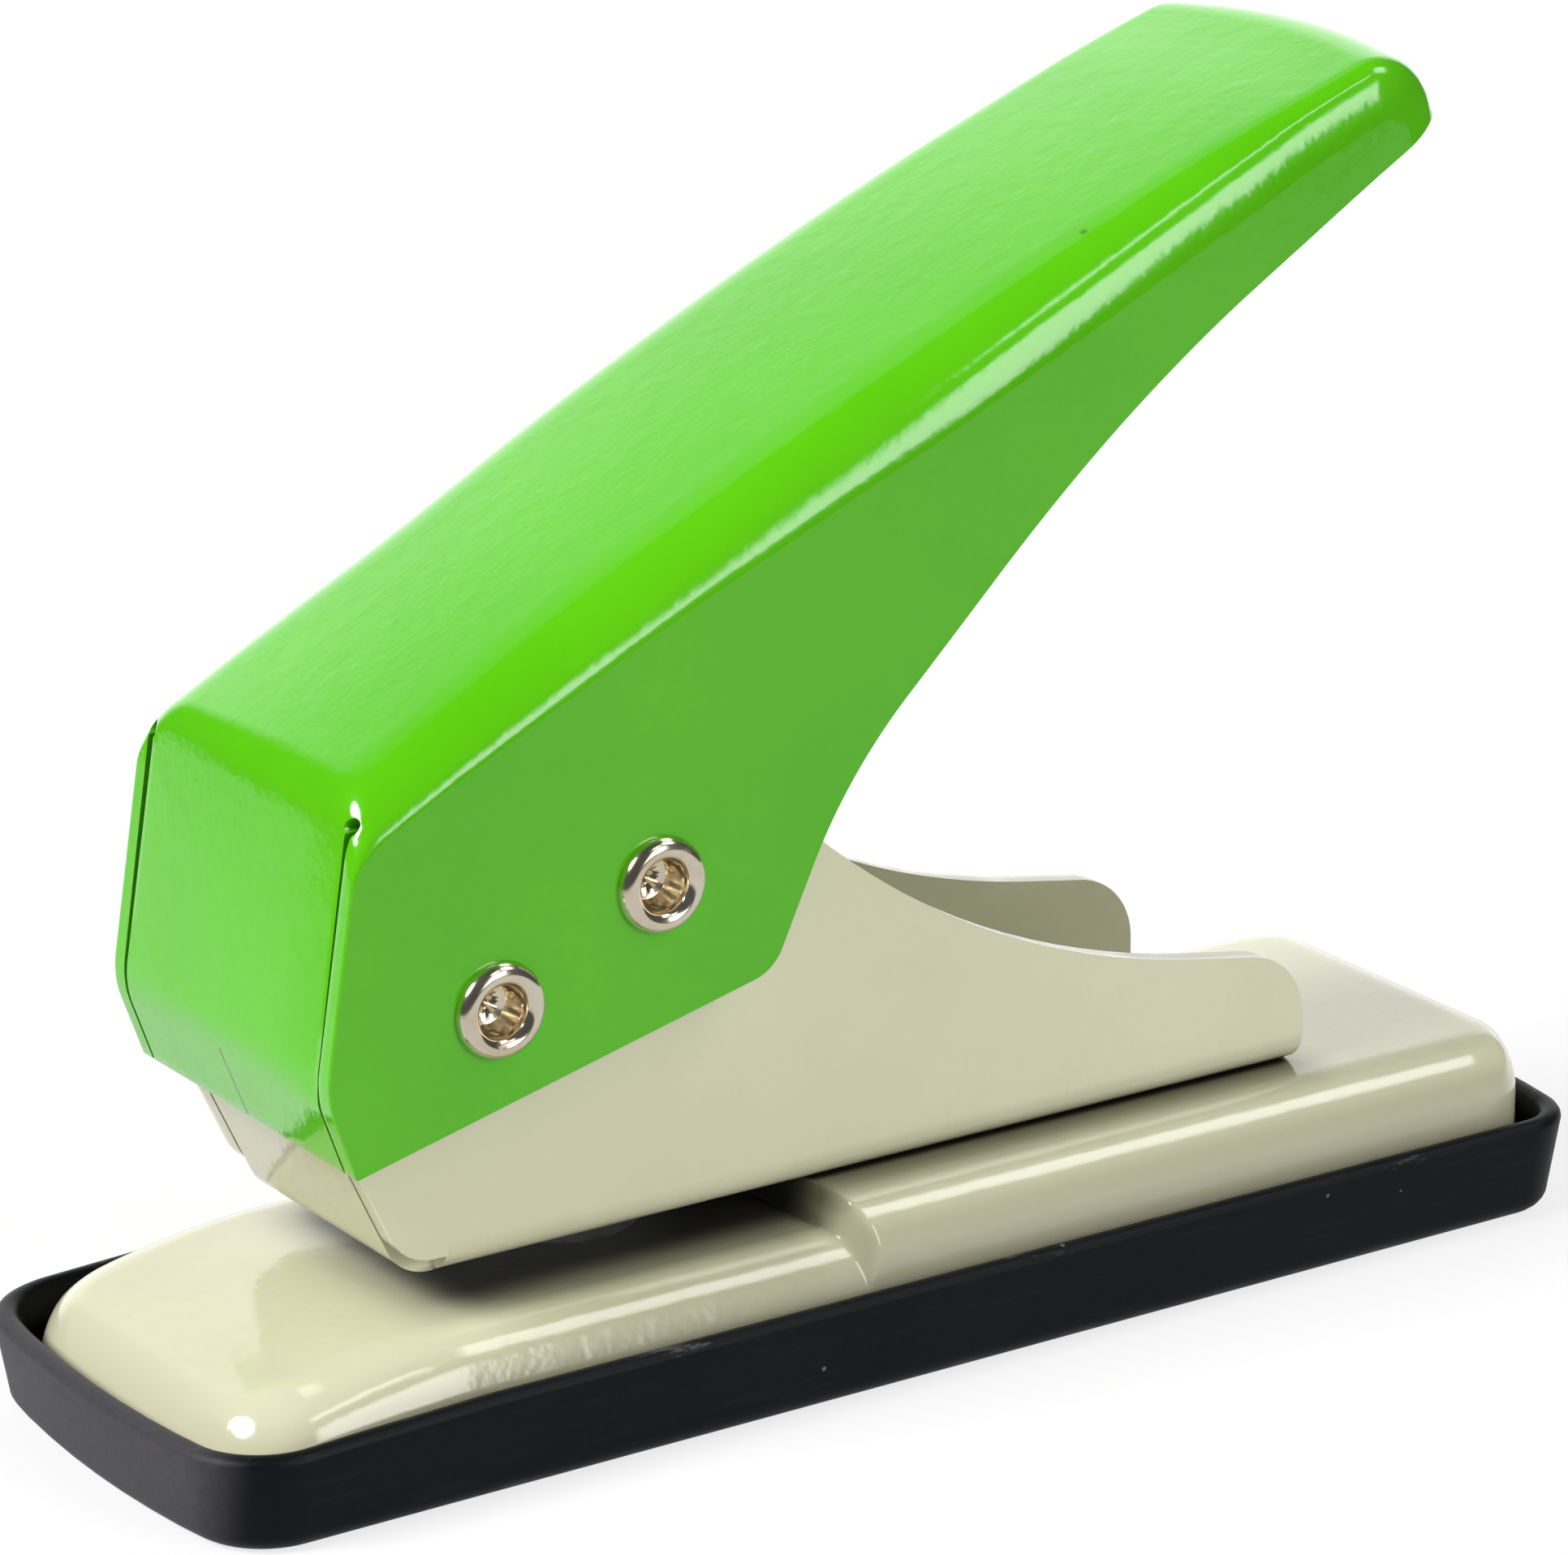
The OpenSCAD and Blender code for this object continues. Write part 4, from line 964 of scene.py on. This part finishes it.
def spring_tree():
    """One wire wound round the punch: named inputs for its turns, radius, rise and thickness."""
    tree = node_tree("wound_wire", [
        ("Geometry", "NodeSocketGeometry"), ("Turns", "NodeSocketFloat"), ("Coil radius", "NodeSocketFloat"),
        ("Rise", "NodeSocketFloat"), ("Wire radius", "NodeSocketFloat"), ("Foot", "NodeSocketVector"),
        ("Finish", "NodeSocketMaterial"),
    ])
    b = Board(tree)
    given = b.node("NodeGroupInput").socket.node.outputs
    coil = b.node("GeometryNodeCurveSpiral", {}, {
        "Resolution": 40, "Rotations": Wire(b, given["Turns"]), "Start Radius": Wire(b, given["Coil radius"]),
        "End Radius": Wire(b, given["Coil radius"]), "Height": Wire(b, given["Rise"]),
    })
    round_wire = b.node("GeometryNodeCurvePrimitiveCircle", {}, {
        "Resolution": 14, "Radius": Wire(b, given["Wire radius"]),
    })
    tube = b.node("GeometryNodeCurveToMesh", {}, {
        "Curve": coil, "Profile Curve": round_wire, "Fill Caps": True,
    })
    put = b.node("GeometryNodeTransform", {}, {"Geometry": tube, "Translation": Wire(b, given["Foot"])})
    smooth = b.node("GeometryNodeSetShadeSmooth", {}, {"Geometry": put})
    solid = b.node("GeometryNodeRealizeInstances", {}, {0: smooth})
    dressed = b.node("GeometryNodeSetMaterial", {}, {"Geometry": solid, "Material": Wire(b, given["Finish"])})
    b.node("NodeGroupOutput", {}, {0: dressed})
    return tree


def points_at(name, places):
    mesh = bpy.data.meshes.new(name)
    mesh.from_pydata([[MM * float(c) for c in p] for p in places], [], [])
    made = bpy.data.objects.new(name, mesh)
    bpy.context.scene.collection.objects.link(made)
    return made


set_at_places = set_pieces_tree()


def set_of(name, profile, places, tilt, finish):
    template = make_template(name + "_one", profile)
    piece = points_at(name, places)
    run_tree(set_at_places, piece, {"Template": template, "Turn": tilt, "Size": 1.0, "Finish": finish})
    drop(template)
    return piece


# Dressing the part


def place(piece, finish, body, slot, node):
    piece.data.materials.clear()
    piece.data.materials.append(finish)
    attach(piece, body)
    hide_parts(node)


place(make_tray(), black_plastic, "tray_body", "black_plastic", "chip_tray")
place(make_base(), beige_enamel, "stand_body", "beige_enamel", "base")
place(make_frame(), beige_enamel, "stand_body", "beige_enamel", "frame")
place(make_lever(), green_enamel, "lever_body", "green_enamel", "lever")
place(make_pin("front_pin", PIVOT), nickel, "lever_body", "nickel_plate", "pivot_pin")
place(make_pin("rear_pin", DRIVE), nickel, "lever_body", "nickel_plate", "drive_pin")

frame_places = [(x, 0, FRAME_FLOOR_Z) for x in FRAME_RIVETS_X]
washer_places = [(at[0], s * SPACER_Y, at[1]) for at in (PIVOT, DRIVE) for s in (-1, 1)]
upright, upside_down, lying = (0.0, 0.0, 0.0), (math.pi, 0.0, 0.0), (math.pi / 2, 0.0, 0.0)
half_t = SPACER_T / 2
washer = [(PIN_R + FIT, half_t - 0.12), (PIN_R + 0.15, half_t)]
washer += [(SPACER_R - 0.15, half_t), (SPACER_R, half_t - 0.12)]
washer += [(r, -h) for r, h in reversed(washer)] + washer[:1]
for node, profile, places, tilt, body in (
    ("die_rivets", flush_rivet(3.2), die_places, upright, "stand_body"),
    ("guide_rivets", flush_rivet(2.7), guide_places, upside_down, "stand_body"),
    ("frame_rivets", domed_rivet(2.7), frame_places, upright, "stand_body"),
    ("spacer_washers", washer, washer_places, lying, "lever_body"),
):
    place(set_of(node + "_set", profile, places, tilt, zinc), zinc, body, "plated_steel", node)

spring = run_tree(spring_tree(), points_at("wound_spring", [(0, 0, 0)]), {
    "Turns": SPRING_TURNS, "Coil radius": SPRING_R * MM, "Rise": SPRING_RISE * MM, "Wire radius": WIRE_R * MM,
    "Foot": (PUNCH_X * MM, 0.0, SPRING_LOW * MM), "Finish": blued_steel,
})
place(spring, blued_steel, "stand_body", "spring_steel", "return_spring")
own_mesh(spring)

for node, finish in (
    ("die_plate", blued_steel), ("punch_pin", ground_steel), ("drive_sleeve", ground_steel),
    ("punch_guide", zinc), ("spring_washer", zinc), ("retaining_clip", blued_steel),
):
    for material_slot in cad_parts[node].material_slots:
        material_slot.material = finish

# Camera, floor and light


def make_camera():
    across_turn, tilt, roll = (math.radians(a) for a in (CAMERA_TURN, CAMERA_TILT, CAMERA_ROLL))
    right = Vector((math.cos(across_turn), math.sin(across_turn), 0))
    level = Vector((math.sin(across_turn), -math.cos(across_turn), 0))
    back = level * math.cos(tilt) + Vector((0, 0, math.sin(tilt)))
    up = back.cross(right)
    side, top = math.cos(roll) * right - math.sin(roll) * up, math.sin(roll) * right + math.cos(roll) * up
    lens = bpy.data.cameras.new("product_camera")
    lens.lens, lens.sensor_width, lens.clip_start, lens.clip_end = CAMERA_LENS, CAMERA_SENSOR, 0.01, 50.0
    camera = bpy.data.objects.new("product_camera", lens)
    turned_to = Matrix((side, top, back)).transposed().to_4x4()
    camera.matrix_world = Matrix.Translation(CAMERA_AT) @ turned_to
    bpy.context.scene.collection.objects.link(camera)
    bpy.context.scene.camera = camera


def make_floor():
    """A pale floor that the camera and mirrors see as white, a little darker in front of the tray."""
    sheet = Sheet()
    sheet.grid([[(x, y, 0) for y in (-330, -30, 270)] for x in (-235, 80, 400)])
    floor = sheet.piece("studio_floor", (0, 0, -10))
    material = bpy.data.materials.new("pale_floor")
    material.use_nodes = True
    b = Board(material.node_tree)
    ray = b.node("ShaderNodeLightPath").socket.node.outputs
    x, y, _ = b.axes(b.node("ShaderNodeTexCoord", {}, {}, out="Object"))
    camera = Wire(b, ray["Is Camera Ray"])
    mirrored = Wire(b, ray["Is Glossy Ray"]).most(Wire(b, ray["Is Transmission Ray"]))
    pale, seen = ((level, level, level, 1) for level in (FLOOR_PALE, FLOOR_SEEN))
    matt = b.node("ShaderNodeBsdfDiffuse", {}, {"Color": b.mixed(camera.most(mirrored), pale, seen)})
    lit = (0.52 + y.between(-0.02, -0.006) * 0.48) * (0.55 + x.between(-0.2, -0.1) * 0.45)
    strength = camera.most(mirrored * lit) * FLOOR_GLOW
    glow = b.node("ShaderNodeEmission", {}, {"Color": (1, 1, 1, 1), "Strength": strength})
    both = b.node("ShaderNodeAddShader", {}, {0: matt, 1: glow})
    b.node("ShaderNodeOutputMaterial", {}, {"Surface": both})
    floor.data.materials.append(material)


def soft_lamp(name, direction, energy, spread):
    lamp = bpy.data.lights.new(name, "SUN")
    lamp.energy, lamp.angle = energy, math.radians(spread)
    made = bpy.data.objects.new(name, lamp)
    made.rotation_euler = Vector(direction).to_track_quat("Z", "Y").to_euler()
    bpy.context.scene.collection.objects.link(made)


def make_light():
    """A dim room with a pale rear wall, a screen low on it, and three bright panels on the camera's side."""
    world = bpy.data.worlds.new("studio")
    bpy.context.scene.world = world
    world.use_nodes = True
    b = Board(world.node_tree)
    x, y, z = b.axes(b.node("ShaderNodeTexCoord", {}, {}, out="Generated"))
    near = 0 - y
    ray = b.node("ShaderNodeLightPath").socket.node.outputs
    wall = y.between(0.36, 0.46) * x.between(-0.3, 0.0)
    screen = wall * (1 - z.between(0.47, 0.64))
    window = near.between(0.5, 0.6) * x.band((0.08, 0.2), (0.42, 0.48))
    window = window * (z + x.between(0.36, 0.41) * 0.08).between(0.08, 0.13)
    window = window * (1 - (z - x.between(0.1, 0.17) * 0.09).between(0.53, 0.59))
    strip = z.band((0.79, 0.81), (0.84, 0.86)) * near.between(0.15, 0.25) * x.band((0.06, 0.1), (0.3, 0.35))
    high = z.between(0.6, 0.7) * near.band((0.1, 0.16), (0.38, 0.46)) * x.band((0.4, 0.46), (0.62, 0.7))
    level = ROOM + wall * REAR_WALL + screen * SCREEN + window * WINDOW + strip * STRIP + high * HIGH_WINDOW
    seen = Wire(b, ray["Is Camera Ray"]).most(Wire(b, ray["Is Transmission Ray"]))
    seen = seen.most(Wire(b, ray["Is Glossy Ray"]) * screen)
    back = b.node("ShaderNodeBackground", {}, {"Color": (1, 1, 1, 1), "Strength": level.most(seen)})
    b.node("ShaderNodeOutputWorld", {}, {"Surface": back})
    soft_lamp("left_softbox", (-0.73, 0.08, 0.68), 3.8, 25)


make_camera()
make_floor()
make_light()
bpy.context.scene.view_settings.view_transform = "Standard"
